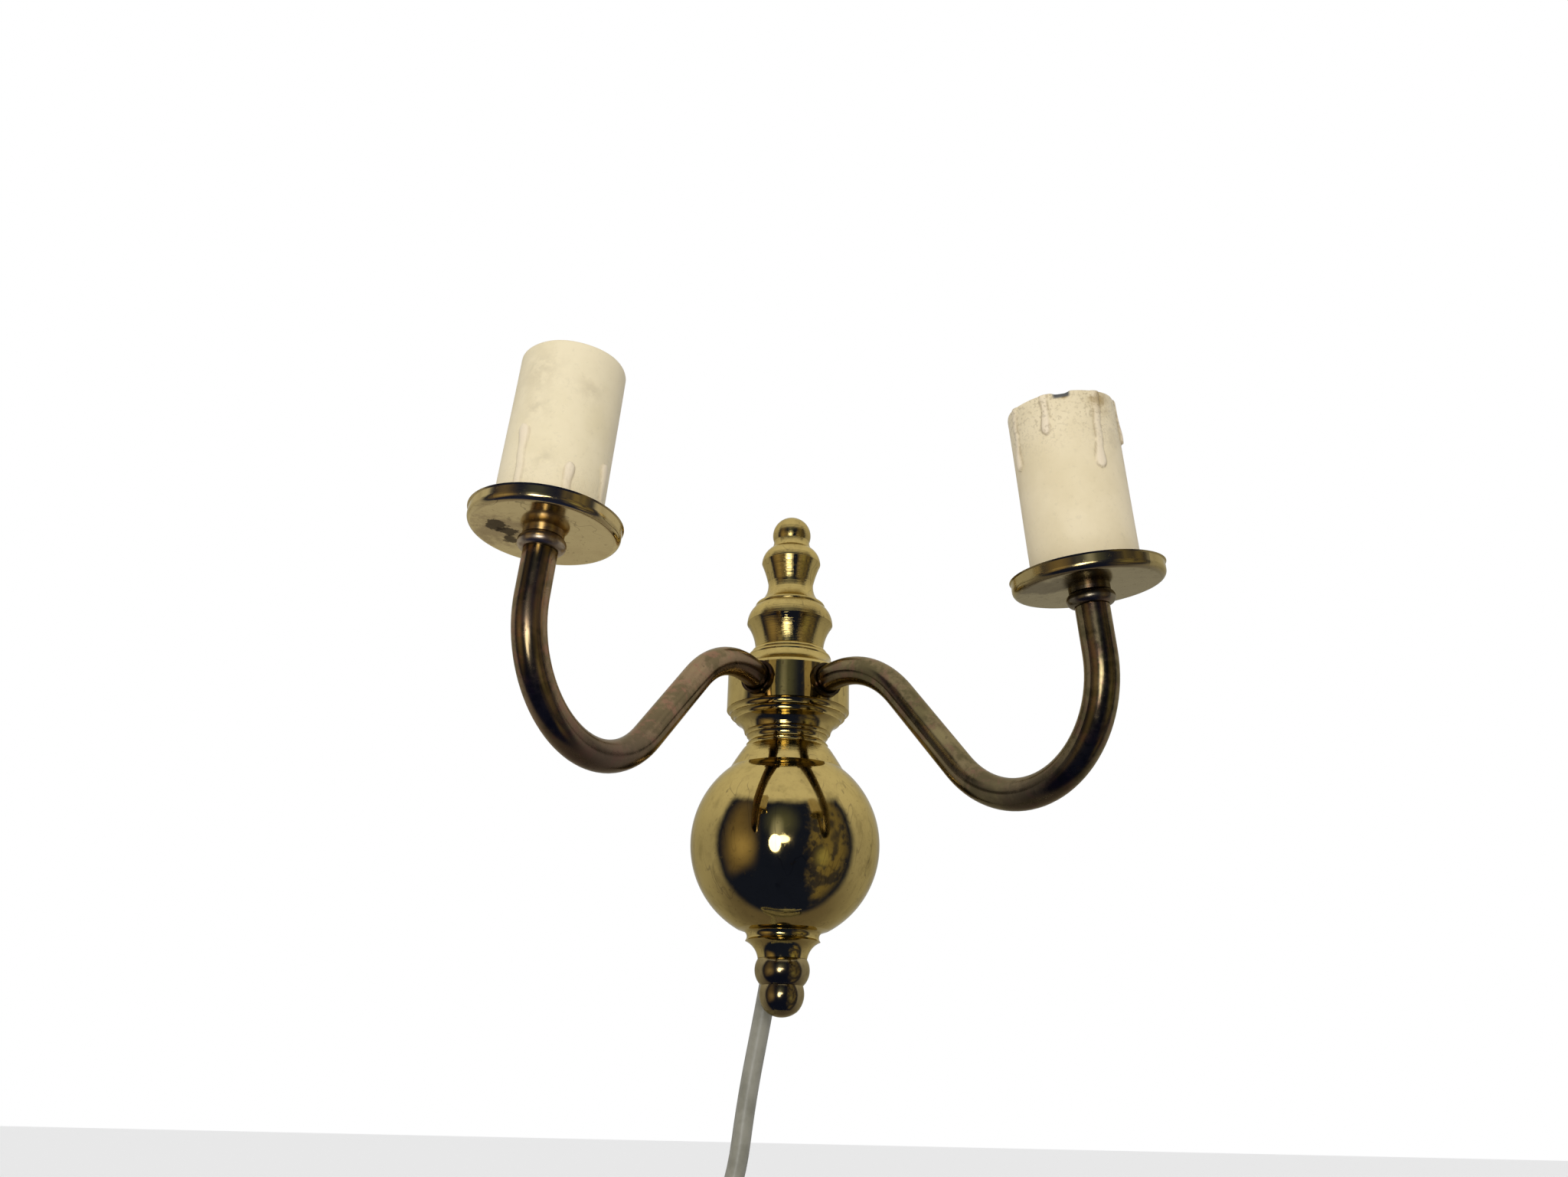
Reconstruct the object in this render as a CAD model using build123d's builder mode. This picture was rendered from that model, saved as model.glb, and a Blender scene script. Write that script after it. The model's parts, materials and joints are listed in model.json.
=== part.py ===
from build123d import *

import os
from math import atan2, ceil, cos, degrees, pi, radians, sin, sqrt, tan

# Double arm wall sconce: a turned brass baluster with its back milled flat
# against the wall, two curved tube arms with drip pans and candle sleeves, and
# a round two core cord that leaves behind the lower finial.
#
# Millimetres. X to the right, -Y out of the wall, +Z up. The wall is the plane
# Y = 0, and the origin is the hanging point: the top of the keyhole slot.
# Heights of the turned body are counted from the centre of its ball.

# ---------------------------------------------------------------- body sizes
axis_standoff = 9.0        # turning axis in front of the wall
hang_height = 15.0         # hanging point above the ball's centre
ball_radius = 29.1
shell_wall = 2.2
neck_bore_radius = 10.2
ball_top_cut = 6.2         # from the ball's top down to where its collar starts
ball_foot_cut = 3.5        # from the ball's bottom up to where its foot starts
foot_radius = 12.3
foot_height = 4.9          # from the ball's bottom down to the end finial's seat
foot_rise = 7.9            # height of the foot's moulding over that seat
collar_length = 12.9       # from the ball's top to the drum
neck_radius = 12.3
neck_drop = 9.6            # narrowest place, below the drum
web_thickness = 1.8
drum_radius = 19.6
drum_wall = 2.6
drum_height = 11.5
edge_step = 0.35           # shadow step beside a turned bead
bead_bulge = 0.45
knob_radius = 14.05        # the larger knob
knob_rise = 18.3           # its widest place above the drum's top
upper_knob_radius = 9.8
upper_knob_rise = 40.1
top_ball_radius = 6.4
top_ball_rise = 50.7
ball_foot_drop = 2.4       # where the top ball leaves its neck, below its centre
finial_bead_radius = 8.2
finial_bead_height = 7.6
finial_groove_radius = 6.3
end_ball_radius = 6.7
end_ball_drop = 10.2       # its centre below the end finial's seat
wire_slot_offset = 6.3     # slot for the two wires, in front of the tie rod
wire_slot_length = 11.6
wire_slot_width = 4.4

# ---------------------------------------------------------- screws and rods
tie_rod_radius = 2.5
tie_rod_grip = 13.0        # length of rod inside the baluster
tie_rod_tip = 2.0          # length of rod past its nut
stud_radius = 1.5          # stud on the end finial, screwed into the ball's foot
stud_length = 4.8
nut_across_flats = 8.0
nut_thickness = 3.2
screw_radius = 1.5
screw_head_radius = 2.8
screw_head_height = 1.8
small_screw_radius = 1.0
small_screw_head_radius = 1.9
small_screw_head_height = 1.2
terminal_screw_head_radius = 1.46
thread_clearance = 0.1
hole_clearance = 0.25
nut_air = 0.05             # air left between faces that are clamped in use

# ------------------------------------------------------------ hanging plate
plate_thickness = 1.5
plate_recess = 2.2         # back of the plate in front of the wall
plate_top = 20.0
plate_ear_height = 12.0
plate_ear_bottom = 2.0
plate_waist = -8.0
plate_bottom = -16.4
plate_ear_width = 36.0
plate_top_width = 24.0
plate_tail_width = 18.0
plate_corner = 1.5
keyhole_slot_radius = 2.1
keyhole_entry_radius = 4.2
keyhole_drop = 8.0         # entry hole below the top of the slot
lug_height = 6.0
lug_depth = 8.0
lug_level = 7.0
lug_reach = 3.2            # from the screw's centre in to the lug's end
plate_screw_offset = 15.0
plate_screw_length = 7.0

# ------------------------------------------------- terminals and cord clamp
block_width = 16.0
block_height = 11.0
block_depth = 11.0
block_top = 1.5
block_corner = 1.0
pole_pitch = 8.0
pole_bore_radius = 1.7
pole_sleeve_radius = 2.4
clamp_level = -13.6
clamp_width = 16.6
clamp_height = 4.0
clamp_thickness = 1.2
clamp_screw_offset = 6.2
clamp_screw_length = 3.0

# --------------------------------------------------------------------- arms
arm_rise = 6.2             # where the arm tubes enter the drum, above its lower edge
arm_azimuth = 32.6         # degrees from straight ahead
tube_radius = 4.25
tube_bore_radius = 3.05
root_rise = 5.0            # upward heading of the root, in degrees
root_inside = 9.8          # straight tube inside the drum's surface
root_outside = 4.4
brow_radius = 32.8
fall_angle = 50.8
slope_length = 31.0
bend_radius = 29.6
riser_length = 16.1        # from the bend to the pan's underside
tube_end_in_holder = 6.0   # threaded end above the pan's underside
left_lift_angle = 3.4      # small differences between two hand bent arms
left_turn_angle = -2.5
right_lift_angle = -0.8
right_turn_angle = 8.6
root_collar_radius = 5.4
root_collar_thickness = 1.7
root_collar_round = 0.5
spot_face_depth = 0.75
washer_radius = 5.5
washer_thickness = 0.8
arm_nut_radius = 5.0       # round nut with two spanner slots
arm_nut_thickness = 2.4
arm_nut_slot = 2.0
nut_pad_depth = 1.2        # flat pad inside the drum wall for the washer
wire_radius = 1.5
wire_entry = 3.0           # length of wire inside the terminal block
wire_rise = 12.0           # where a wire starts to bend, above the ball's centre
wire_lane = 3.6            # sideways place of each wire in the neck
wire_lane_depth = 6.0      # its place in front of the turning axis
wire_lane_drop = 6.0       # its last place in the neck, below the drum
wire_lead = 11.8           # straight way into the arm
wire_join = -1.0           # where the wire meets the arm's centre line

# ------------------------------------------------- pans, holders and sleeves
pan_radius = 18.7
pan_height = 3.9
pan_thickness = 0.9
pan_corner = 1.7
pan_lip = 0.35
collar_radius = 6.0
collar_height = 4.4
collar_neck = 0.9
collar_neck_radius = 5.1
holder_radius = 11.7
holder_foot_radius = 7.6
holder_foot_height = 10.0
holder_height = 42.6
holder_wall = 2.4
holder_floor = 21.0
holder_floor_thickness = 2.0
mouth_height = 4.0
thread_shell_bore = 7.05
thread_shell_wall = 0.5
thread_shell_height = 18.0
contact_width = 4.0
contact_thickness = 0.5
contact_rise = 2.2
sleeve_radius = 13.5
sleeve_clearance = 0.4
sleeve_length = 46.8
sleeve_rim_round = 0.5

# --------------------------------------------------------------------- cord
cord_radius = 2.8
cord_wall_gap = 0.25
slot_clearance = 0.3
mouth_deepening = 1.5      # extra depth of the slot towards the hollow
clamp_exit_drop = 11.0     # cord's first bend, below the terminal block
exit_top_shift = -1.9      # cord's place beside the middle, where it reaches the wall
exit_top_drop = 0.9        # the same, below the ball
exit_bottom_shift = -5.1
exit_bottom_drop = 20.9
# Places on the hanging cord: sideways, and down from the end finial's seat.
hanging_route = [(-9.1, 38.5), (-11.6, 62.0)]
turn_pitch = 6.2
layer_pitch = 6.2
coil_outer_radius = 40.0   # centre line of the outermost turn
turns_per_layer = 3.25
coil_turns = 7.0
coil_start_angle = 135.0   # upper left, where the cord comes down on a tangent
coil_shift = -3.7          # coil's centre beside the middle
coil_drop = 118.8          # and down from the end finial's seat
coil_wall_gap = 1.4
coil_run_in = 12.0         # straight way into the coil
coil_run_out = 14.5
coil_samples = 700         # places compared for the gap between turns
# Places on the tail: sideways from the coil's centre, out of the wall, up.
tail_route = [(-46.9, -13.0, 0.2), (-44.7, -16.2, -14.1), (-36.2, -19.0, -25.8),
              (-23.3, -20.4, -32.4), (-8.8, -20.4, -32.4)]
tie_width = 7.0
tie_thickness = 0.8
tie_air = 0.15
plug_width = 35.0
plug_thickness = 13.7
plug_length = 30.0
plug_corner = 5.0
plug_width_taper = 4.0
plug_thickness_taper = 1.0
plug_neck_length = 12.0
plug_neck_radius = 5.4
plug_neck_wall = 0.9       # where the neck starts on the cord
pin_radius = 2.0
pin_length = 19.0
pin_spacing = 18.6
pin_seat = 4.0
pin_end_round = 0.8

os.makedirs("parts", exist_ok=True)

ball_z = -hang_height
turning_plane = Plane(origin=(0, -axis_standoff, ball_z), x_dir=(1, 0, 0), z_dir=(0, -1, 0))
turning_axis = Axis((0, -axis_standoff, 0), (0, 0, 1))
wall_side = Plane.XZ
inner_ball_radius = ball_radius - shell_wall
drum_bottom = ball_radius + collar_length
drum_top = drum_bottom + drum_height
finial_top = -ball_radius - foot_height


def level(height, radius_offset=(0, 0)):
    """Plane across the turned body at a height above the ball's centre."""
    x, y = radius_offset
    return Plane((x, y - axis_standoff, ball_z + height))


def front_plane(y):
    """Upright plane facing away from the wall, with heights from the ball's centre."""
    return Plane(origin=(0, y, ball_z), x_dir=(1, 0, 0), z_dir=(0, -1, 0))


def on_ball(height):
    """Point of the ball's outline at a height above its centre."""
    return (sqrt(ball_radius**2 - height**2), height)


def between(first, last, share):
    """Size or height at a share of the way from one to another."""
    return first + (last - first) * share


def save(builder, name):
    builder.part.label = name
    export_step(builder.part, f"parts/{name}.step")
    print(f"{name:26s} {len(builder.part.solids()):3d} solids {builder.part.volume:10.1f} mm3")


# ------------------------------------------------------------- turned body
# The baluster above the drum, from its seat to its top ball.
seat = drum_top
knob = seat + knob_rise
upper_knob = seat + upper_knob_rise
ball_centre = seat + top_ball_rise
ball_foot = sqrt(top_ball_radius**2 - ball_foot_drop**2)
rim_radius = drum_radius - 3 * edge_step
step_ends = [
    (0.898 * rim_radius, between(seat, knob, 0.115)),
    (0.736 * rim_radius, between(seat, knob, 0.328)),
    (0.671 * rim_radius, between(seat, knob, 0.415)),
    (0.790 * knob_radius, between(seat, knob, 0.503)),
    (0.815 * knob_radius, between(knob, upper_knob, 0.266)),
    (0.744 * knob_radius, between(knob, upper_knob, 0.330)),
    (0.765 * upper_knob_radius, between(knob, upper_knob, 0.670)),
    (0.684 * upper_knob_radius, between(upper_knob, ball_centre, 0.509)),
    (ball_foot, ball_centre - ball_foot_drop),
]
with BuildPart() as upper_baluster:
    with BuildSketch(turning_plane):
        with BuildLine():
            Line((0, seat), (rim_radius, seat))
            SagittaArc((rim_radius, seat), step_ends[0], -bead_bulge)
            ThreePointArc(step_ends[0], (0.795 * rim_radius, between(seat, knob, 0.208)), step_ends[1])
            SagittaArc(step_ends[1], step_ends[2], -bead_bulge)
            SagittaArc(step_ends[2], step_ends[3], -bead_bulge)
            ThreePointArc(step_ends[3], (0.815 * knob_radius, between(seat, knob, 0.678)),
                          (knob_radius, knob))
            ThreePointArc((knob_radius, knob), (0.964 * knob_radius, between(knob, upper_knob, 0.128)),
                          step_ends[4])
            SagittaArc(step_ends[4], step_ends[5], -bead_bulge)
            ThreePointArc(step_ends[5], (0.806 * upper_knob_radius, between(knob, upper_knob, 0.509)),
                          step_ends[6])
            ThreePointArc(step_ends[6], (0.857 * upper_knob_radius, between(knob, upper_knob, 0.826)),
                          (upper_knob_radius, upper_knob))
            ThreePointArc((upper_knob_radius, upper_knob),
                          (0.918 * upper_knob_radius, between(upper_knob, ball_centre, 0.283)), step_ends[7])
            ThreePointArc(step_ends[7], (0.633 * upper_knob_radius, between(upper_knob, ball_centre, 0.623)),
                          step_ends[8])
            ThreePointArc(step_ends[8], (top_ball_radius, ball_centre), (0, ball_centre + top_ball_radius))
            Line((0, ball_centre + top_ball_radius), (0, seat))
        make_face()
    revolve(axis=turning_axis)
    with BuildSketch(level(drum_top)):
        Circle(tie_rod_radius + thread_clearance)
    extrude(amount=tie_rod_grip + thread_clearance, mode=Mode.SUBTRACT)
    split(bisect_by=wall_side, keep=Keep.TOP)
save(upper_baluster, "upper_baluster")

# The arms' own frames: x along the level line out of the drum, y up, at the
# point where the arm's centre line crosses the drum's surface.
up = Vector(0, 0, 1)


def make_arm_plane(side, lift, turn):
    """Frame of one arm. side is -1 for the left arm and 1 for the right."""
    azimuth = radians(arm_azimuth)
    outward = Vector(side * sin(azimuth), -cos(azimuth), 0)
    across = outward.cross(up)
    root = Vector(0, -axis_standoff, ball_z + drum_bottom + arm_rise) + outward * drum_radius
    heading = outward.rotate(Axis((0, 0, 0), across), lift)
    normal = across.rotate(Axis((0, 0, 0), outward), turn)
    return Plane(origin=root, x_dir=heading, z_dir=normal)


arm_planes = {
    "left": make_arm_plane(-1, left_lift_angle, left_turn_angle),
    "right": make_arm_plane(1, right_lift_angle, right_turn_angle),
}


def root_plane(side, distance):
    """Plane square to the arm's root, at a distance outside the drum's surface."""
    frame = arm_planes[side]
    rise = radians(root_rise)
    heading = frame.x_dir * cos(rise) + frame.y_dir * sin(rise)
    return Plane(origin=frame.origin + heading * distance, x_dir=frame.z_dir, z_dir=heading)


pad_inner = -drum_wall - nut_pad_depth

# The drum: a short ring that holds the arms, open at the back.
with BuildPart() as drum_hub:
    with BuildSketch(level(drum_bottom)):
        Circle(drum_radius)
    extrude(amount=drum_height)
    with BuildSketch(level(drum_bottom)):
        Circle(drum_radius - drum_wall)
    extrude(amount=drum_height, mode=Mode.SUBTRACT)
    for side in arm_planes:
        with BuildSketch(root_plane(side, pad_inner)):
            Circle(washer_radius + 2 * hole_clearance)
        extrude(amount=drum_wall)
    with BuildSketch(level(drum_bottom)):
        Circle(3 * drum_radius)
        Circle(drum_radius, mode=Mode.SUBTRACT)
    extrude(amount=drum_height, mode=Mode.SUBTRACT)
    for side in arm_planes:
        with BuildSketch(root_plane(side, pad_inner - washer_thickness)):
            Circle(tube_radius + thread_clearance)
        extrude(amount=2 * drum_wall + nut_pad_depth, mode=Mode.SUBTRACT)
        with BuildSketch(root_plane(side, -spot_face_depth)):
            Circle(root_collar_radius + hole_clearance)
        extrude(amount=drum_wall, mode=Mode.SUBTRACT)
    with BuildSketch(level(drum_bottom - web_thickness)):
        Rectangle(3 * drum_radius, 3 * drum_radius)
    extrude(amount=web_thickness, mode=Mode.SUBTRACT)
    with BuildSketch(level(drum_top)):
        Rectangle(3 * drum_radius, 3 * drum_radius)
    extrude(amount=web_thickness, mode=Mode.SUBTRACT)
    split(bisect_by=wall_side, keep=Keep.TOP)
save(drum_hub, "drum_hub")

# The cord's straight way out: down the back of the ball and the end finial.
cord_depth = cord_radius + cord_wall_gap
slot_depth = 2 * cord_radius + cord_wall_gap + slot_clearance
exit_top = (exit_top_shift, -ball_radius - exit_top_drop)
exit_bottom = (exit_bottom_shift, -ball_radius - exit_bottom_drop)
exit_lean = degrees(atan2(exit_top[0] - exit_bottom[0], exit_top[1] - exit_bottom[1]))
slot_middle = (between(exit_top[0], exit_bottom[0], 0.5), between(exit_top[1], exit_bottom[1], 0.5))

with BuildPart() as cord_slot:
    with BuildSketch(front_plane(0)):
        with Locations(Location((*slot_middle, 0), (0, 0, -exit_lean))):
            Rectangle(2 * (cord_radius + slot_clearance), 1.6 * (exit_top[1] - exit_bottom[1]))
    extrude(amount=slot_depth)

# Towards the hollow the slot is deeper, where the cord comes from its clamp.
with BuildPart() as slot_mouth:
    with BuildSketch(Plane(origin=(exit_top[0] / 2, 0, ball_z), x_dir=(0, -1, 0), z_dir=(-1, 0, 0))):
        Polygon((0, finial_top), (slot_depth, finial_top), (slot_depth + mouth_deepening, -inner_ball_radius),
                (slot_depth + mouth_deepening, -ball_radius / 2), (0, -ball_radius / 2), align=None)
    extrude(amount=cord_radius + 2 * slot_clearance, both=True)

# Bowl, neck and ball: one hollow casting, with two lugs for the plate.
lug_inner = plate_screw_offset - lug_reach
lug_back = -plate_recess - plate_thickness - nut_air

with BuildPart() as ball_lugs:
    with BuildSketch(front_plane(lug_back)):
        for side in (-1, 1):
            with Locations((side * (lug_inner + ball_radius) / 2, lug_level)):
                Rectangle(ball_radius - lug_inner, lug_height)
    extrude(amount=lug_depth)
    with Locations((0, -axis_standoff, ball_z)):
        Sphere(ball_radius - shell_wall / 2, mode=Mode.INTERSECT)

neck = drum_bottom - neck_drop
collar_start = on_ball(ball_radius - ball_top_cut)
foot_start = on_ball(ball_foot_cut - ball_radius)
foot_ends = [
    (0.902 * finial_bead_radius, finial_top),
    (0.919 * foot_radius, finial_top + 0.633 * foot_rise),
    (foot_radius, finial_top + foot_rise),
]
collar_ends = [
    (between(neck_radius, drum_radius, 0.219), neck - 0.312 * neck_drop),
    (between(neck_radius, drum_radius, 0.096), neck - 0.146 * neck_drop),
    (between(neck_radius, drum_radius, 0.082), neck + 0.125 * neck_drop),
    (between(neck_radius, drum_radius, 0.192), neck + 0.260 * neck_drop),
    (between(neck_radius, drum_radius, 0.603), neck + 0.646 * neck_drop),
    (between(neck_radius, drum_radius, 0.781), neck + 0.812 * neck_drop),
    (between(neck_radius, drum_radius, 0.822), neck + 0.812 * neck_drop),
    (drum_radius - edge_step, drum_bottom),
]
with BuildPart() as ball_shell:
    with BuildSketch(turning_plane):
        with BuildLine():
            Line((0, finial_top), foot_ends[0])
            ThreePointArc(foot_ends[0], (0.70 * foot_radius, finial_top + 0.367 * foot_rise), foot_ends[1])
            SagittaArc(foot_ends[1], foot_ends[2], 2 * bead_bulge)
            Line(foot_ends[2], foot_start)
            ThreePointArc(foot_start, (ball_radius, 0), collar_start)
            ThreePointArc(collar_start, (between(neck_radius, drum_radius, 0.507), neck - 0.646 * neck_drop),
                          collar_ends[0])
            SagittaArc(collar_ends[0], collar_ends[1], bead_bulge)
            ThreePointArc(collar_ends[1], (neck_radius, neck), collar_ends[2])
            SagittaArc(collar_ends[2], collar_ends[3], bead_bulge)
            ThreePointArc(collar_ends[3],
                          (between(neck_radius, drum_radius, 0.329), neck + 0.490 * neck_drop),
                          collar_ends[4])
            SagittaArc(collar_ends[4], collar_ends[5], bead_bulge)
            Line(collar_ends[5], collar_ends[6])
            SagittaArc(collar_ends[6], collar_ends[7], bead_bulge)
            Line(collar_ends[7], (0, drum_bottom))
            Line((0, drum_bottom), (0, finial_top))
        make_face()
    revolve(axis=turning_axis)
    with Locations((0, -axis_standoff, ball_z)):
        Sphere(inner_ball_radius, mode=Mode.SUBTRACT)
    with BuildSketch(level(0)):
        Circle(neck_bore_radius)
    extrude(amount=drum_bottom - web_thickness, mode=Mode.SUBTRACT)
    with BuildSketch(level(drum_bottom)):
        Circle(tie_rod_radius + hole_clearance)
        with Locations((0, -wire_slot_offset)):
            SlotOverall(wire_slot_length, wire_slot_width)
    extrude(amount=-2 * web_thickness, mode=Mode.SUBTRACT)
    with BuildSketch(level(finial_top)):
        Circle(stud_radius + thread_clearance)
    extrude(amount=stud_length + hole_clearance, mode=Mode.SUBTRACT)
    add(ball_lugs.part)
    with BuildSketch(front_plane(lug_back)):
        with Locations((-plate_screw_offset, lug_level), (plate_screw_offset, lug_level)):
            Circle(screw_radius + thread_clearance)
    extrude(amount=lug_depth, mode=Mode.SUBTRACT)
    add(cord_slot.part, mode=Mode.SUBTRACT)
    add(slot_mouth.part, mode=Mode.SUBTRACT)
    split(bisect_by=wall_side, keep=Keep.TOP)
save(ball_shell, "ball_shell")

# End finial: bead and small ball under the big one, with its stud.
groove = finial_top - finial_bead_height
end_ball = finial_top - end_ball_drop
end_ball_side = (0.72 * end_ball_radius, end_ball - 0.672 * end_ball_radius)
end_ball_tip = (0, end_ball - 0.94 * end_ball_radius)
with BuildPart() as end_finial:
    with BuildSketch(turning_plane):
        with BuildLine():
            Line((0, finial_top), (0.89 * finial_bead_radius, finial_top))
            ThreePointArc((0.89 * finial_bead_radius, finial_top),
                          (finial_bead_radius, between(finial_top, groove, 0.487)),
                          (finial_groove_radius, groove))
            ThreePointArc((finial_groove_radius, groove), (end_ball_radius, end_ball), end_ball_side)
            ThreePointArc(end_ball_side, (0.358 * end_ball_radius, end_ball - 0.881 * end_ball_radius),
                          end_ball_tip)
            Line(end_ball_tip, (0, finial_top))
        make_face()
    revolve(axis=turning_axis)
    with BuildSketch(level(finial_top)):
        Circle(stud_radius)
    extrude(amount=stud_length)
    add(cord_slot.part, mode=Mode.SUBTRACT)
    split(bisect_by=wall_side, keep=Keep.TOP)
save(end_finial, "end_finial")

# --------------------------------------------------------------- tie rod
rod_bottom = drum_bottom - web_thickness - nut_thickness - tie_rod_tip
with BuildPart() as tie_rod:
    with BuildSketch(level(rod_bottom)):
        Circle(tie_rod_radius)
    extrude(amount=drum_top + tie_rod_grip - rod_bottom)
save(tie_rod, "tie_rod")

with BuildPart() as tie_rod_nut:
    with BuildSketch(level(drum_bottom - web_thickness - nut_air)):
        RegularPolygon(nut_across_flats / 2, 6, major_radius=False)
        Circle(tie_rod_radius + thread_clearance, mode=Mode.SUBTRACT)
    extrude(amount=-nut_thickness)
save(tie_rod_nut, "tie_rod_nut")

# ------------------------------------------------------- hanging plate
plate_front = -plate_recess - plate_thickness
block_centre = block_top - block_height / 2
entry_height = hang_height - keyhole_drop

with BuildPart() as hanging_plate:
    with BuildSketch(front_plane(-plate_recess)) as plate_outline:
        with BuildLine():
            Polyline(
                (plate_top_width / 2, plate_top), (plate_ear_width / 2, plate_ear_height),
                (plate_ear_width / 2, plate_ear_bottom), (plate_tail_width / 2, plate_waist),
                (plate_tail_width / 2, plate_bottom), (-plate_tail_width / 2, plate_bottom),
                (-plate_tail_width / 2, plate_waist), (-plate_ear_width / 2, plate_ear_bottom),
                (-plate_ear_width / 2, plate_ear_height), (-plate_top_width / 2, plate_top), close=True)
        make_face()
        fillet(plate_outline.vertices(), radius=plate_corner)
        with Locations((0, entry_height)):
            Circle(keyhole_entry_radius, mode=Mode.SUBTRACT)
        with Locations((0, (hang_height + entry_height - keyhole_slot_radius) / 2)):
            Rectangle(2 * keyhole_slot_radius, hang_height - keyhole_slot_radius - entry_height,
                      mode=Mode.SUBTRACT)
        with Locations((0, hang_height - keyhole_slot_radius)):
            Circle(keyhole_slot_radius, mode=Mode.SUBTRACT)
        with Locations((-plate_screw_offset, lug_level), (plate_screw_offset, lug_level)):
            Circle(screw_radius + hole_clearance, mode=Mode.SUBTRACT)
        with Locations((-clamp_screw_offset, clamp_level), (clamp_screw_offset, clamp_level)):
            Circle(small_screw_radius + thread_clearance, mode=Mode.SUBTRACT)
        with Locations((0, block_centre)):
            Circle(small_screw_radius + thread_clearance, mode=Mode.SUBTRACT)
    extrude(amount=plate_thickness)
save(hanging_plate, "hanging_plate")

screw_seat = -plate_recess + nut_air
with BuildPart() as plate_screws:
    for side in (-1, 1):
        with BuildSketch(front_plane(screw_seat)):
            with Locations((side * plate_screw_offset, lug_level)):
                Circle(screw_head_radius)
        extrude(amount=-screw_head_height)
        with BuildSketch(front_plane(screw_seat)):
            with Locations((side * plate_screw_offset, lug_level)):
                Circle(screw_radius)
        extrude(amount=plate_screw_length)
save(plate_screws, "plate_screws")

# --------------------------------------------------------- terminal block
pole_y = plate_front - block_depth / 2
block_front = plate_front - block_depth
terminal_levels = (block_top - block_height * 0.27, block_top - block_height * 0.77)
terminal_screw_length = block_depth / 2 - wire_radius - nut_air


with BuildPart() as terminal_block:
    with BuildSketch(front_plane(plate_front)):
        with Locations((0, block_centre)):
            RectangleRounded(block_width, block_height, block_corner)
    extrude(amount=block_depth)
    for side in (-1, 1):
        with BuildSketch(Plane((side * pole_pitch / 2, pole_y, ball_z + block_top))):
            Circle(pole_sleeve_radius + nut_air)
        extrude(amount=-block_height, mode=Mode.SUBTRACT)
    with BuildSketch(front_plane(block_front)):
        for terminal_level in terminal_levels:
            with Locations((-pole_pitch / 2, terminal_level), (pole_pitch / 2, terminal_level)):
                Circle(terminal_screw_head_radius + thread_clearance)
    extrude(amount=-(block_depth / 2 - pole_sleeve_radius + hole_clearance), mode=Mode.SUBTRACT)
    with BuildSketch(front_plane(block_front)):
        with Locations((0, block_centre)):
            Circle(small_screw_radius + hole_clearance)
    extrude(amount=-block_depth, mode=Mode.SUBTRACT)
save(terminal_block, "terminal_block")

with BuildPart() as terminal_sleeves:
    for side in (-1, 1):
        with BuildSketch(Plane((side * pole_pitch / 2, pole_y, ball_z + block_centre))):
            Circle(pole_sleeve_radius)
            Circle(pole_bore_radius, mode=Mode.SUBTRACT)
        extrude(amount=block_height / 2 - nut_air, both=True)
    with BuildSketch(front_plane(block_front)):
        for terminal_level in terminal_levels:
            with Locations((-pole_pitch / 2, terminal_level), (pole_pitch / 2, terminal_level)):
                Circle(small_screw_radius + thread_clearance)
    extrude(amount=-block_depth / 2, mode=Mode.SUBTRACT)
save(terminal_sleeves, "terminal_sleeves")

with BuildPart() as terminal_screws:
    for terminal_level in terminal_levels:
        for side in (-1, 1):
            with BuildSketch(front_plane(block_front)):
                with Locations((side * pole_pitch / 2, terminal_level)):
                    Circle(small_screw_radius)
            extrude(amount=-terminal_screw_length)
            with BuildSketch(front_plane(block_front + nut_air)):
                with Locations((side * pole_pitch / 2, terminal_level)):
                    Circle(terminal_screw_head_radius)
            extrude(amount=-small_screw_head_height)
save(terminal_screws, "terminal_screws")

with BuildPart() as block_screw:
    with BuildSketch(front_plane(block_front - nut_air)):
        with Locations((0, block_centre)):
            Circle(small_screw_head_radius)
    extrude(amount=small_screw_head_height)
    with BuildSketch(front_plane(block_front - nut_air)):
        with Locations((0, block_centre)):
            Circle(small_screw_radius)
    extrude(amount=-(block_depth + plate_thickness))
save(block_screw, "block_screw")

# The saddle that holds the cord on the plate, and its two screws.
cord_on_plate = plate_front - cord_radius
saddle_inner = cord_radius + nut_air
saddle_outer = saddle_inner + clamp_thickness
with BuildPart() as cord_clamp:
    with BuildSketch(Plane((0, 0, ball_z + clamp_level))):
        with Locations((0, plate_front - clamp_thickness / 2)):
            Rectangle(clamp_width, clamp_thickness)
        with Locations((0, (plate_front + cord_on_plate) / 2)):
            Rectangle(2 * saddle_outer, cord_radius)
        with Locations((0, cord_on_plate)):
            Circle(saddle_outer)
            Circle(saddle_inner, mode=Mode.SUBTRACT)
        with Locations((0, (plate_front + cord_on_plate) / 2)):
            Rectangle(2 * saddle_inner, cord_radius, mode=Mode.SUBTRACT)
        with Locations((0, plate_front + saddle_outer)):
            Rectangle(clamp_width, 2 * saddle_outer, mode=Mode.SUBTRACT)
    extrude(amount=clamp_height / 2, both=True)
    with BuildSketch(front_plane(plate_front)):
        with Locations((-clamp_screw_offset, clamp_level), (clamp_screw_offset, clamp_level)):
            Circle(small_screw_radius + thread_clearance)
    extrude(amount=2 * clamp_thickness, mode=Mode.SUBTRACT)
save(cord_clamp, "cord_clamp")

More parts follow.
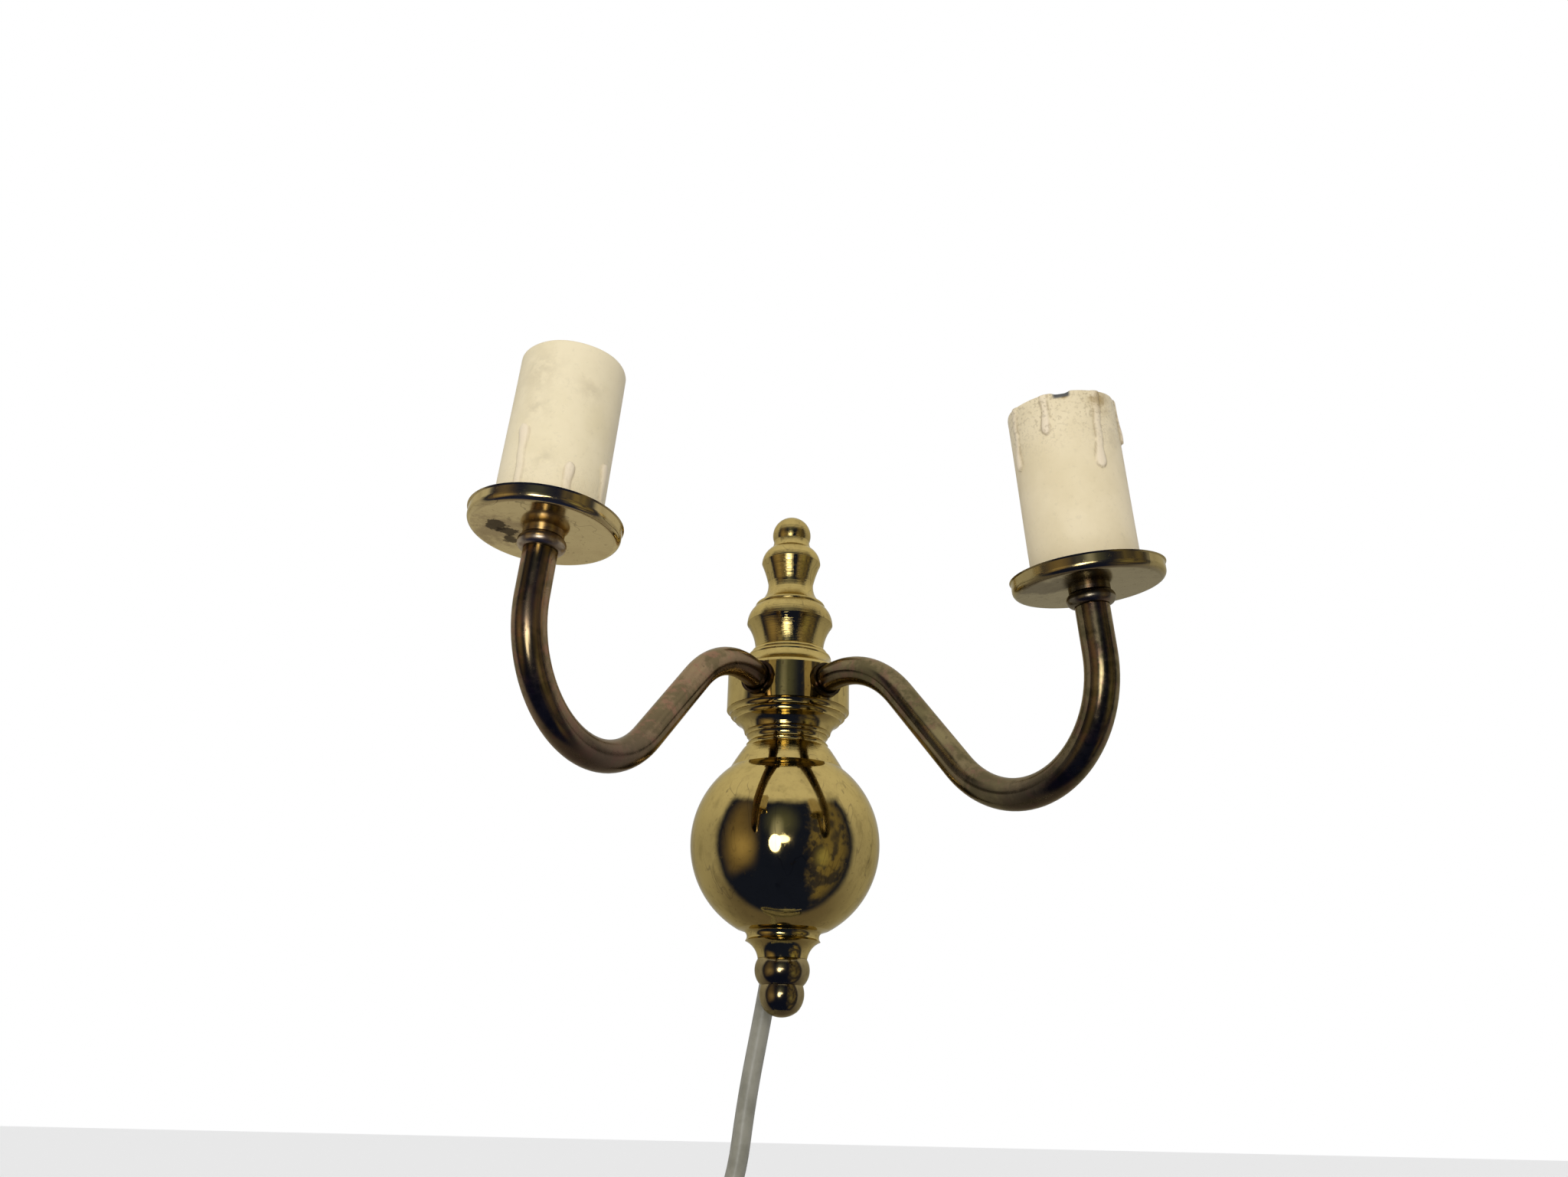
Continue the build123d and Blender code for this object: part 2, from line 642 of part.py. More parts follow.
with BuildPart() as cord_clamp_screws:
    for side in (-1, 1):
        with BuildSketch(front_plane(plate_front - clamp_thickness - nut_air)):
            with Locations((side * clamp_screw_offset, clamp_level)):
                Circle(small_screw_head_radius)
        extrude(amount=small_screw_head_height)
        with BuildSketch(front_plane(plate_front - clamp_thickness - nut_air)):
            with Locations((side * clamp_screw_offset, clamp_level)):
                Circle(small_screw_radius)
        extrude(amount=-clamp_screw_length)
save(cord_clamp_screws, "cord_clamp_screws")


# -------------------------------------------------------------------- arms
def arm_centre_line(side, start, end_height):
    """Centre line of an arm, from outside the drum to a height above the pan's underside."""
    rise = radians(root_rise)
    with BuildLine(arm_planes[side]) as centre_line:
        root = Line((start * cos(rise), start * sin(rise)),
                    (root_outside * cos(rise), root_outside * sin(rise)))
        brow = JernArc(start=root @ 1, tangent=root % 1, radius=brow_radius,
                       arc_size=-(root_rise + fall_angle))
        slope = Line(brow @ 1, brow @ 1 + (brow % 1) * slope_length)
        bend = JernArc(start=slope @ 1, tangent=slope % 1, radius=bend_radius, arc_size=90 + fall_angle)
        Line(bend @ 1, bend @ 1 + (bend % 1) * (riser_length + end_height))
    return centre_line.wire()


pan_points = {side: arm_centre_line(side, 0, 0) @ 1 for side in arm_planes}
threaded_fit = tube_radius + nut_air


def end_plane(side, height):
    """Plane across the end of an arm, at a height above the pan's underside."""
    frame = arm_planes[side]
    return Plane(origin=pan_points[side] + frame.y_dir * height, x_dir=frame.x_dir, z_dir=frame.y_dir)


def turned_plane(side):
    """Upright plane through the end of an arm: x outward, y along the arm's end axis."""
    frame = arm_planes[side]
    return Plane(origin=pan_points[side], x_dir=frame.x_dir, z_dir=frame.z_dir)


def end_axis(side):
    return Axis(pan_points[side], arm_planes[side].y_dir)


def make_arm_tube(side):
    path = arm_centre_line(side, -root_inside, tube_end_in_holder)
    with BuildPart() as tube:
        with BuildSketch(Plane(origin=path @ 0, x_dir=arm_planes[side].z_dir, z_dir=path % 0)):
            Circle(tube_radius)
            Circle(tube_bore_radius, mode=Mode.SUBTRACT)
        sweep(path=path)
    expected = pi * (tube_radius**2 - tube_bore_radius**2) * path.length
    print(f"{side} arm tube: length {path.length:.1f}, volume {tube.part.volume:.0f}, "
          f"section times length {expected:.0f}")
    return tube


def make_root_collar(side):
    with BuildPart() as collar:
        with BuildSketch(root_plane(side, nut_air - spot_face_depth)):
            Circle(root_collar_radius)
            Circle(threaded_fit, mode=Mode.SUBTRACT)
        extrude(amount=root_collar_thickness)
        outward = Axis(root_plane(side, 0).origin, root_plane(side, 0).z_dir)
        fillet(collar.edges().sort_by(outward)[-1], radius=root_collar_round)
    return collar


for side in arm_planes:
    save(make_arm_tube(side), f"{side}_arm_tube")
for side in arm_planes:
    save(make_root_collar(side), f"{side}_root_collar")

with BuildPart() as arm_washers:
    for side in arm_planes:
        with BuildSketch(root_plane(side, pad_inner - nut_air)):
            Circle(washer_radius)
            Circle(threaded_fit, mode=Mode.SUBTRACT)
        extrude(amount=-washer_thickness)
save(arm_washers, "arm_washers")

with BuildPart() as arm_nuts:
    for side in arm_planes:
        nut_plane = root_plane(side, pad_inner - washer_thickness - 2 * nut_air)
        with BuildSketch(nut_plane):
            Circle(arm_nut_radius)
            Circle(threaded_fit, mode=Mode.SUBTRACT)
        extrude(amount=-arm_nut_thickness)
        with BuildSketch(nut_plane.offset(-arm_nut_thickness)):
            Rectangle(3 * arm_nut_radius, arm_nut_slot)
            Circle(threaded_fit, mode=Mode.SUBTRACT)
        extrude(amount=arm_nut_thickness / 3, mode=Mode.SUBTRACT)
save(arm_nuts, "arm_nuts")


# ----------------------------------------------- collars, pans and holders
def make_seat_collar(side):
    """Barrel shaped bead on the tube, with a short neck under the pan."""
    with BuildPart() as bead:
        with BuildSketch(turned_plane(side)):
            with BuildLine():
                Line((threaded_fit, -collar_height), (collar_neck_radius - bead_bulge, -collar_height))
                ThreePointArc(
                    (collar_neck_radius - bead_bulge, -collar_height),
                    (collar_radius, -(collar_height + collar_neck) / 2),
                    (collar_neck_radius - bead_bulge, -collar_neck))
                Line((collar_neck_radius - bead_bulge, -collar_neck), (collar_neck_radius, -collar_neck))
                Line((collar_neck_radius, -collar_neck), (collar_neck_radius, 0))
                Line((collar_neck_radius, 0), (threaded_fit, 0))
                Line((threaded_fit, 0), (threaded_fit, -collar_height))
            make_face()
        revolve(axis=end_axis(side))
    return bead


def make_drip_pan(side):
    """Shallow dish with a rounded corner below and a small rolled lip."""
    inner_corner = pan_corner - pan_thickness
    with BuildPart() as pan:
        with BuildSketch(turned_plane(side)):
            with BuildLine():
                hole = tube_radius + thread_clearance
                Line((hole, 0), (pan_radius - pan_corner, 0))
                JernArc((pan_radius - pan_corner, 0), (1, 0), pan_corner, 90)
                Line((pan_radius, pan_corner), (pan_radius, pan_height - pan_lip))
                Line((pan_radius, pan_height - pan_lip), (pan_radius + pan_lip, pan_height))
                Line((pan_radius + pan_lip, pan_height), (pan_radius - pan_thickness, pan_height))
                Line((pan_radius - pan_thickness, pan_height), (pan_radius - pan_thickness, pan_corner))
                JernArc((pan_radius - pan_thickness, pan_corner), (0, -1), inner_corner, -90)
                Line((pan_radius - pan_corner, pan_thickness), (hole, pan_thickness))
                Line((hole, pan_thickness), (hole, 0))
            make_face()
        revolve(axis=end_axis(side))
    return pan


holder_top = pan_thickness + holder_height
foot_top = pan_thickness + holder_foot_height
mouth_radius = thread_shell_bore + thread_shell_wall + nut_air
holder_inner = holder_radius - holder_wall
floor_top = holder_floor + holder_floor_thickness


def make_lampholder_body(side):
    """Candle lampholder: a narrow foot on the pan, a barrel, a floor and a mouth ring."""
    with BuildPart() as body:
        with BuildSketch(end_plane(side, pan_thickness)):
            Circle(holder_foot_radius)
        extrude(amount=holder_foot_height)
        with BuildSketch(end_plane(side, foot_top)):
            Circle(holder_radius)
        extrude(amount=holder_top - foot_top)
        with BuildSketch(end_plane(side, foot_top + holder_wall)):
            Circle(holder_inner)
        extrude(amount=holder_floor - foot_top - holder_wall, mode=Mode.SUBTRACT)
        with BuildSketch(end_plane(side, floor_top)):
            Circle(holder_inner)
        extrude(amount=holder_top - mouth_height - floor_top, mode=Mode.SUBTRACT)
        with BuildSketch(end_plane(side, holder_top)):
            Circle(mouth_radius)
        extrude(amount=-2 * mouth_height, mode=Mode.SUBTRACT)
        with BuildSketch(end_plane(side, pan_thickness)):
            Circle(threaded_fit)
        extrude(amount=tube_end_in_holder, mode=Mode.SUBTRACT)
        with BuildSketch(end_plane(side, pan_thickness)):
            Circle(tube_bore_radius)
        extrude(amount=foot_top + holder_wall, mode=Mode.SUBTRACT)
    return body


def make_thread_shell(side):
    with BuildPart() as shell:
        with BuildSketch(end_plane(side, holder_top)):
            Circle(thread_shell_bore + thread_shell_wall)
            Circle(thread_shell_bore, mode=Mode.SUBTRACT)
        extrude(amount=-thread_shell_height)
    return shell


def make_contact(side):
    """Spring tongue on the holder's floor, bent up to the lamp's tip."""
    reach = contact_width + contact_rise
    tongue_tip = floor_top + contact_rise
    with BuildPart() as tongue:
        with BuildSketch(turned_plane(side)):
            with BuildLine():
                Polyline(
                    (-reach, floor_top), (0, floor_top), (contact_width, tongue_tip - contact_thickness),
                    (contact_width, tongue_tip), (-contact_thickness / 2, floor_top + contact_thickness),
                    (-reach, floor_top + contact_thickness), close=True)
            make_face()
        extrude(amount=contact_width / 2, both=True)
    return tongue


def make_candle_sleeve(side):
    """Candle sleeve standing on the pan's floor round the lampholder."""
    with BuildPart() as sleeve:
        with BuildSketch(end_plane(side, pan_thickness + nut_air)):
            Circle(sleeve_radius)
            Circle(holder_radius + sleeve_clearance, mode=Mode.SUBTRACT)
        extrude(amount=sleeve_length)
        rim = sleeve.edges().filter_by(GeomType.CIRCLE).group_by(
            Axis(end_plane(side, 0).origin, end_plane(side, 0).z_dir))[-1]
        fillet(rim, radius=sleeve_rim_round)
    return sleeve


for side in arm_planes:
    save(make_seat_collar(side), f"{side}_seat_collar")
    save(make_drip_pan(side), f"{side}_drip_pan")
    save(make_lampholder_body(side), f"{side}_lampholder_body")
    save(make_thread_shell(side), f"{side}_lampholder_thread")
    save(make_contact(side), f"{side}_lampholder_contact")
    save(make_candle_sleeve(side), f"{side}_candle_sleeve")


# ------------------------------------------------------------------- wires
def corner_radii(points):
    """Radius at each corner of a route: 0.45 of the shorter run over the tangent of half the turn."""
    radii = []
    for before, corner, after in zip(points, points[1:], points[2:]):
        turn = (corner - before).get_angle(after - corner)
        shorter = min((corner - before).length, (after - corner).length)
        radii.append(0.45 * shorter / tan(radians(turn / 2)))
    return radii


def make_arm_wire(side):
    """Wire pair in one jacket, from the terminal block up the neck and through the arm."""
    sign = -1 if side == "left" else 1
    arm_line = arm_centre_line(side, wire_join, holder_floor)
    points = [
        Vector(sign * pole_pitch / 2, pole_y, ball_z + block_top - wire_entry),
        Vector(sign * pole_pitch / 2, pole_y, ball_z + wire_rise),
        Vector(sign * wire_lane, -axis_standoff - wire_lane_depth, ball_z + drum_bottom - wire_lane_drop),
        arm_line @ 0 - (arm_line % 0) * wire_lead,
        arm_line @ 0,
    ]
    radii = corner_radii(points)
    with BuildLine() as route:
        FilletPolyline(*points, radius=radii)
        add(arm_line)
    with BuildPart() as wire:
        with BuildSketch(Plane(origin=points[0], z_dir=(0, 0, 1))):
            Circle(wire_radius)
        sweep(path=route.wire())
    print(f"{side} wire radii", [round(radius, 1) for radius in radii])
    print(f"{side} wire: length {route.wire().length:.1f}, volume {wire.part.volume:.0f}, "
          f"section times length {pi * wire_radius**2 * route.wire().length:.0f}")
    return wire


for side in arm_planes:
    save(make_arm_wire(side), f"{side}_arm_wire")

# -------------------------------------------------------------------- cord
# Places on the cord are (x, y, height from the ball's centre).
coil_near_y = -coil_wall_gap - cord_radius
coil_centre = (coil_shift, finial_top - coil_drop)
inner_turn_radius = coil_outer_radius - turn_pitch * turns_per_layer
cord_axis_y = -cord_depth


def at(x, y, height):
    return Vector(x, y, ball_z + height)


def coil_place(turns):
    """Centre of the coiled cord after a number of turns: in, a half turn up a layer, and out again."""
    past = turns - turns_per_layer
    if past <= 0:
        radius = coil_outer_radius - turn_pitch * turns
        climb = 0
    elif past < 0.5:
        radius = inner_turn_radius - turn_pitch * past + 2 * turn_pitch * past**2
        share = 2 * past
        climb = 3 * share**2 - 2 * share**3
    else:
        radius = inner_turn_radius + turn_pitch * (past - 0.5)
        climb = 1
    angle = radians(coil_start_angle + 360 * turns)
    return at(coil_centre[0] + radius * cos(angle), coil_near_y - layer_pitch * climb,
              coil_centre[1] + radius * sin(angle))


def coil_heading(turns):
    step = 1e-4
    return (coil_place(turns + step) - coil_place(turns - step)).normalized()


def meeting_point(start, start_heading, end, end_heading):
    """Where the two tangent arcs of a biarc with equal reaches meet."""
    chord = end - start
    along = chord.dot(start_heading + end_heading)
    spread = 2 * (1 - start_heading.dot(end_heading))
    reach = (sqrt(along**2 + spread * chord.dot(chord)) - along) / spread
    return (start + start_heading * reach + end - end_heading * reach) / 2


coil_steps = ceil(4 * coil_turns)
lead = 2 * cord_radius
coil_entry = coil_place(0) - coil_heading(0) * lead
with BuildLine() as coil_path:
    Line(coil_entry, coil_place(0))
    for quarter in range(coil_steps):
        first, last = coil_turns * quarter / coil_steps, coil_turns * (quarter + 1) / coil_steps
        middle = meeting_point(coil_place(first), coil_heading(first), coil_place(last), coil_heading(last))
        near = TangentArc(coil_place(first), middle, tangent=coil_heading(first))
        TangentArc(middle, coil_place(last), tangent=near % 1)
    coil_exit = coil_place(coil_turns) + coil_heading(coil_turns) * lead
    Line(coil_place(coil_turns), coil_exit)

with BuildPart() as cord_coil:
    with BuildSketch(Plane(origin=coil_entry, z_dir=coil_heading(0))):
        Circle(cord_radius)
    sweep(path=coil_path.wire())
save(cord_coil, "cord_coil")

coil_length = coil_path.wire().length
print(f"coil: length {coil_length:.0f}, volume {cord_coil.part.volume:.0f}, "
      f"section times length {pi * cord_radius**2 * coil_length:.0f}")
spacing = coil_length / coil_samples
samples = [coil_path.wire().position_at(i * spacing, position_mode=PositionMode.LENGTH)
           for i in range(coil_samples)]
apart = ceil(4 * cord_radius / spacing)
least = min((near - far).length for i, near in enumerate(samples) for far in samples[i + apart:])
print(f"least gap between the coil's turns {least - 2 * cord_radius:.2f}")

cord_points = [
    at(0, cord_on_plate, block_top - block_height),
    at(0, cord_on_plate, block_top - block_height - clamp_exit_drop),
    at(exit_top[0], cord_axis_y, exit_top[1]),
    at(exit_bottom[0], cord_axis_y, exit_bottom[1]),
]
cord_points += [at(x, cord_axis_y, finial_top - drop) for x, drop in hanging_route]
cord_points += [coil_entry - coil_heading(0) * coil_run_in, coil_entry]
tail_points = [coil_exit, coil_exit + coil_heading(coil_turns) * coil_run_out]
tail_points += [at(coil_centre[0] + x, y, coil_centre[1] + z) for x, y, z in tail_route]


def make_cord(points, name):
    radii = corner_radii(points)
    with BuildLine() as route:
        FilletPolyline(*points, radius=radii)
    with BuildPart() as tube:
        with BuildSketch(Plane(origin=points[0], z_dir=points[1] - points[0])):
            Circle(cord_radius)
        sweep(path=route.wire())
    print(f"{name} radii", [round(radius, 1) for radius in radii])
    print(f"{name}: length {route.wire().length:.1f}, volume {tube.part.volume:.0f}, "
          f"section times length {pi * cord_radius**2 * route.wire().length:.0f}")
    return tube


save(make_cord(cord_points, "mains cord"), "mains_cord")
save(make_cord(tail_points, "cord tail"), "cord_tail")

# Band round the coil's bundle, at its right-hand side.
bundle_outer = coil_outer_radius + cord_radius
bundle_inner = inner_turn_radius - turn_pitch / 8 - cord_radius
tie_inside = sqrt(bundle_inner**2 - (tie_width / 2)**2) - tie_air
tie_outside = bundle_outer + tie_air
tie_wall_side = coil_near_y + cord_radius + tie_air
tie_front_side = coil_near_y - layer_pitch - cord_radius - tie_air
tie_depth = tie_wall_side - tie_front_side
with BuildPart() as coil_tie:
    with BuildSketch(Plane(at(coil_centre[0], 0, coil_centre[1]))):
        with Locations(((tie_inside + tie_outside) / 2, (tie_wall_side + tie_front_side) / 2)):
            RectangleRounded(tie_outside - tie_inside + 2 * tie_thickness, tie_depth + 2 * tie_thickness,
                             cord_radius)
            RectangleRounded(tie_outside - tie_inside, tie_depth, cord_radius - tie_thickness,
                             mode=Mode.SUBTRACT)
    extrude(amount=tie_width / 2, both=True)
save(coil_tie, "coil_tie")

# ------------------------------------------------------------ two pin plug
plug_plane = Plane(origin=tail_points[-1], x_dir=(0, 0, 1), z_dir=(1, 0, 0))
with BuildPart() as plug_body:
    with BuildSketch(plug_plane.offset(plug_neck_length)):
        RectangleRounded(plug_width, plug_thickness, plug_corner)
    with BuildSketch(plug_plane.offset(plug_neck_length + plug_length)):
        RectangleRounded(plug_width - plug_width_taper, plug_thickness - plug_thickness_taper,
                         plug_corner)
    loft(ruled=True)
    with BuildSketch(plug_plane):
        Circle(cord_radius + plug_neck_wall)
    with BuildSketch(plug_plane.offset(plug_neck_length)):
        Circle(plug_neck_radius)
    loft(ruled=True)
    with BuildSketch(plug_plane.offset(plug_neck_length + plug_length)):
        with Locations((-pin_spacing / 2, 0), (pin_spacing / 2, 0)):
            Circle(pin_radius + nut_air)
    extrude(amount=-pin_seat, mode=Mode.SUBTRACT)
save(plug_body, "plug_body")

with BuildPart() as plug_pins:
    with BuildSketch(plug_plane.offset(plug_neck_length + plug_length - pin_seat + nut_air)):
        with Locations((-pin_spacing / 2, 0), (pin_spacing / 2, 0)):
            Circle(pin_radius)
    extrude(amount=pin_length + pin_seat)
    fillet(plug_pins.edges().filter_by(GeomType.CIRCLE).group_by(Axis.X)[-1], radius=pin_end_round)
save(plug_pins, "plug_pins")
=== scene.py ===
# %% [markdown]
# # A double arm wall sconce
# A turned brass body hangs on the wall. Two bent tube arms come out of its
# drum and carry drip pans and candle sleeves. A grey cord leaves behind the
# lower finial. The solids come from the packed model, so this file adds what
# solids lack: the camera, the cord's smooth line, wax drips, and finishes.

# %% Load the packed model
import json
from math import ceil, cos, exp, pi, radians, sin, sqrt

import bmesh
import bpy
from mathutils import Matrix, Vector


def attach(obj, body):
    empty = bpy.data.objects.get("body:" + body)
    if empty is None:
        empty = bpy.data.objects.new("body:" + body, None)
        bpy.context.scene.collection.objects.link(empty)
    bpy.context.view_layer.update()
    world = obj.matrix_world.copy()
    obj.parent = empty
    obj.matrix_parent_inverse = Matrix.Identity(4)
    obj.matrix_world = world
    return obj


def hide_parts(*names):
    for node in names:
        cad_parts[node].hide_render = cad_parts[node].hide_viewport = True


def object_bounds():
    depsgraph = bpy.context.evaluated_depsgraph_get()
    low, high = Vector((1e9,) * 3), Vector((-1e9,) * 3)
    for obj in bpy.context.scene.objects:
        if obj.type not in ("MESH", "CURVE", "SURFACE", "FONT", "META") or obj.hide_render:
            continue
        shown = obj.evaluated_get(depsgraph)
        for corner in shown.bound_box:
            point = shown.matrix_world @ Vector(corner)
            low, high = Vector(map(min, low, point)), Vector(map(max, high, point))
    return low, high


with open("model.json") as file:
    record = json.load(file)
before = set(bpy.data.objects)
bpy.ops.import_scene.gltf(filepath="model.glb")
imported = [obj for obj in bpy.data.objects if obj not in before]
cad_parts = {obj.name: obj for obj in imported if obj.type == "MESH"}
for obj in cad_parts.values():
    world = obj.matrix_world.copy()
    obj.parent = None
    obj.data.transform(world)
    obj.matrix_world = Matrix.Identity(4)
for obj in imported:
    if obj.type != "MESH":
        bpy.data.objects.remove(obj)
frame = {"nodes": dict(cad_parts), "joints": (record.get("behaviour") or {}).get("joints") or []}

cad_low, cad_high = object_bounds()
nodes = frame["nodes"]
print("nodes", len(nodes), "box", [round(v, 4) for v in cad_low], [round(v, 4) for v in cad_high])

# %% [markdown]
# ## Units and places
# Everything here is in metres, but the sizes on a lamp are known in
# millimetres. Each number could be scaled by hand, which is easy to forget,
# so one short helper turns a place in millimetres into a vector. Heights are
# counted from the centre of the ball, as on the drawing, while the origin is
# the hanging point.

# %% Helper for places
MM = 0.001
axis_standoff = 9.0      # turning axis in front of the wall
hang_height = 15.0       # hanging point above the ball's centre


def at(x, y, height):
    """A place in millimetres, with its height counted from the ball's centre."""
    return Vector((x, y, height - hang_height)) * MM


print("centre of the ball", [round(v, 4) for v in at(0, -axis_standoff, 0)])

# %% [markdown]
# ## Where the camera looks
# The view is from below, a little from the left and slightly rolled. The
# camera's place and angles came from fitting the outlines of the arms. The
# angles could be stacked as rotations, but their order is easy to get wrong,
# so they become three plain directions: ahead, to the right, and up.

# %% Directions of the camera
camera_place = at(-22.94, -378.75 - axis_standoff, -68.98)
camera_yaw = radians(3.13)
camera_pitch = radians(22.09)
camera_roll = radians(1.41)

looking = Vector((sin(camera_yaw) * cos(camera_pitch),
                  cos(camera_yaw) * cos(camera_pitch),
                  sin(camera_pitch)))
level_right = Vector((cos(camera_yaw), -sin(camera_yaw), 0))
level_up = level_right.cross(looking)
right = level_right * cos(camera_roll) + level_up * sin(camera_roll)
upward = level_up * cos(camera_roll) - level_right * sin(camera_roll)
print("camera at", [round(v, 3) for v in camera_place], "looking", [round(v, 3) for v in looking])

# %% [markdown]
# ## The camera
# A camera looks along its own -Z with +Y up, so the three directions are the
# columns of its matrix. The lens is worked out from a share of the frame's
# width, because that share stays true at any size of picture.

# %% Camera
sensor_width = 36.0
focal_share = 1600 / 2048     # focal length as a share of the frame's width

camera_data = bpy.data.cameras.new("camera")
camera_data.sensor_width = sensor_width
camera_data.lens = sensor_width * focal_share
camera_data.clip_start = 0.01
camera_data.clip_end = 50.0
camera = bpy.data.objects.new("camera", camera_data)
camera_turn = Matrix((right, upward, -looking)).transposed()
camera.matrix_world = Matrix.Translation(camera_place) @ camera_turn.to_4x4()
bpy.context.scene.collection.objects.link(camera)
bpy.context.scene.camera = camera
print("lens", round(camera_data.lens, 2), "mm")

# %% [markdown]
# ## The coil of spare cord
# The mains cord is one round length of PVC, and what isn't needed on the
# wall is wound into a flat coil of two layers. A coil could be drawn by
# hand, but its turns should lie side by side, so each is a few points worked
# out from a radius: the cord spirals in, climbs one layer, and spirals out.

# %% Shape of the coil
cord_radius = 2.8
coil_outer_radius = 40.0
coil_across = -3.7            # the coil's centre, along the wall
coil_height = -152.8          # and its height
coil_near_y = -4.2            # the first layer's depth in front of the wall
layer_pitch = 6.2
turn_pitch = 6.2
coil_turns = 7.0
turns_per_layer = 3.25
climbing_turns = 0.5          # turns in which the cord reaches the second layer
coil_start_angle = 135.0
inner_turn_radius = coil_outer_radius - turn_pitch * turns_per_layer
small_turn = 1e-4


def coil_place(turns, share=1.0):
    """The cord's centre after a number of turns. The radius is divided by the share."""
    past = turns - turns_per_layer
    radius = coil_outer_radius - turn_pitch * turns
    climb = 0.0
    if past > 0:
        rising = min(past / climbing_turns, 1)
        climb = 3 * rising**2 - 2 * rising**3
        radius = inner_turn_radius + turn_pitch * (past - climbing_turns)
    if 0 < past < climbing_turns:
        radius = inner_turn_radius - turn_pitch * past + turn_pitch * past**2 / climbing_turns
    angle = radians(coil_start_angle + 360 * turns)
    return at(coil_across + radius / share * cos(angle), coil_near_y - layer_pitch * climb,
              coil_height + radius / share * sin(angle))


def coil_heading(turns):
    """The direction in which the cord runs after a number of turns."""
    return (coil_place(turns + small_turn) - coil_place(turns - small_turn)).normalized()


print("coil", coil_turns, "turns, innermost radius", round(inner_turn_radius, 2), "mm")

# %% [markdown]
# ## The cord's route
# Inside the ball a saddle holds the cord. Then it bends back to the wall,
# runs down behind the finial and hangs as far as the coil. After the coil a
# short tail leads to the plug. The places are control points, so the cord
# bends smoothly between them. A smooth curve runs a little inside the points
# of a turn, so the coil's points stand out by that share.

# %% Route of the cord
cord_axis_y = -3.05           # the cord's centre where it lies on the wall
points_per_turn = 16
lead_in = 12.0                # last point before the coil
lead_out = 14.5               # first point after it
curve_share = 0.75 + 0.25 * cos(2 * pi / points_per_turn)

coil_entry = coil_place(0) - coil_heading(0) * 2 * cord_radius * MM
coil_exit = coil_place(coil_turns) + coil_heading(coil_turns) * 2 * cord_radius * MM
route = [
    at(0.0, -6.5, -9.5),
    at(0.0, -6.5, -20.5),
    at(-1.9, cord_axis_y, -30.0),
    at(-5.1, cord_axis_y, -50.0),
    at(-9.1, cord_axis_y, -72.5),
    at(-11.6, cord_axis_y, -96.0),
    coil_entry - coil_heading(0) * lead_in * MM,
]
for step in range(ceil(coil_turns * points_per_turn) + 1):
    route.append(coil_place(step / points_per_turn, curve_share))
route += [
    coil_exit + coil_heading(coil_turns) * lead_out * MM,
    at(-50.6, -13.0, -152.6),
    at(-48.4, -16.2, -166.9),
    at(-39.9, -19.0, -178.6),
    at(-27.0, -20.4, -185.2),
    at(-12.5, -20.4, -185.2),
]
print("control points", len(route))

# %% [markdown]
# ## The cord as a curve
# A mesh tube would need hundreds of rings to look round and bend softly. A
# NURBS curve with a round bevel needs only the route: it bends smoothly by
# itself, keeps its thickness, and can still be measured as one line. The
# bevel's depth is times each point's radius, which also sets the object's
# box, so the depth is 1 and the radius is the cord's own.


def smooth_curve(name, points, radius):
    """A round NURBS curve through the places between its control points."""
    data = bpy.data.curves.new(name, "CURVE")
    data.dimensions = "3D"
    data.bevel_depth = 1.0
    data.bevel_resolution = 6
    data.resolution_u = 6
    data.use_fill_caps = True
    spline = data.splines.new("NURBS")
    spline.points.add(len(points) - 1)
    for control, point in zip(spline.points, points):
        control.co = (*point, 1.0)
        control.radius = radius
    spline.order_u = 3
    spline.use_endpoint_u = True
    curve = bpy.data.objects.new(name, data)
    bpy.context.scene.collection.objects.link(curve)
    return curve


mains_lead = smooth_curve("mains_lead", route, cord_radius * MM)
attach(mains_lead, "root")
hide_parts("mains_cord", "cord_coil", "cord_tail")

# %% [markdown]
# ## The bends of an arm
# Each arm is a tube, bent cold from straight runs and arcs: out of the drum,
# down over a brow, along a slope, round a bend and up to the pan. The arms'
# meshes come with the model. Only their bends are repeated here, because the
# sleeves and the pans' finishes have to know where each arm ends.

# %% Bends of the arms
drum_radius = 19.6
arm_level = 48.2
arm_azimuth = radians(32.6)      # between the wall's normal and each arm
root_rise = radians(5.0)
fall_angle = radians(50.8)
root_outside = 4.4               # straight run outside the drum
brow_radius = 32.8
slope_length = 31.0
bend_radius = 29.6
riser_length = 16.1
# side: its sign along X, and the small lift and twist with which the arm was mounted
arm_turns = {
    "left": (-1, radians(3.4), radians(-2.5)),
    "right": (1, radians(-0.8), radians(8.6)),
}


def arc_shift(radius, first, last):
    """How far an arc of a path moves, from one heading to another in its plane."""
    way = 1 if last > first else -1
    return Vector((way * radius * (sin(last) - sin(first)), way * radius * (cos(first) - cos(last))))


print("brow moves by", [round(v, 1) for v in arc_shift(brow_radius, root_rise, -fall_angle)], "mm")

# %% [markdown]
# ## Where the arms end
# The end of an arm could be read off its mesh, but adding up runs and arcs
# gives it exactly, along with the tilted directions of its plane. The joints
# of the model lie on the same axes, so they show whether the sum is right.

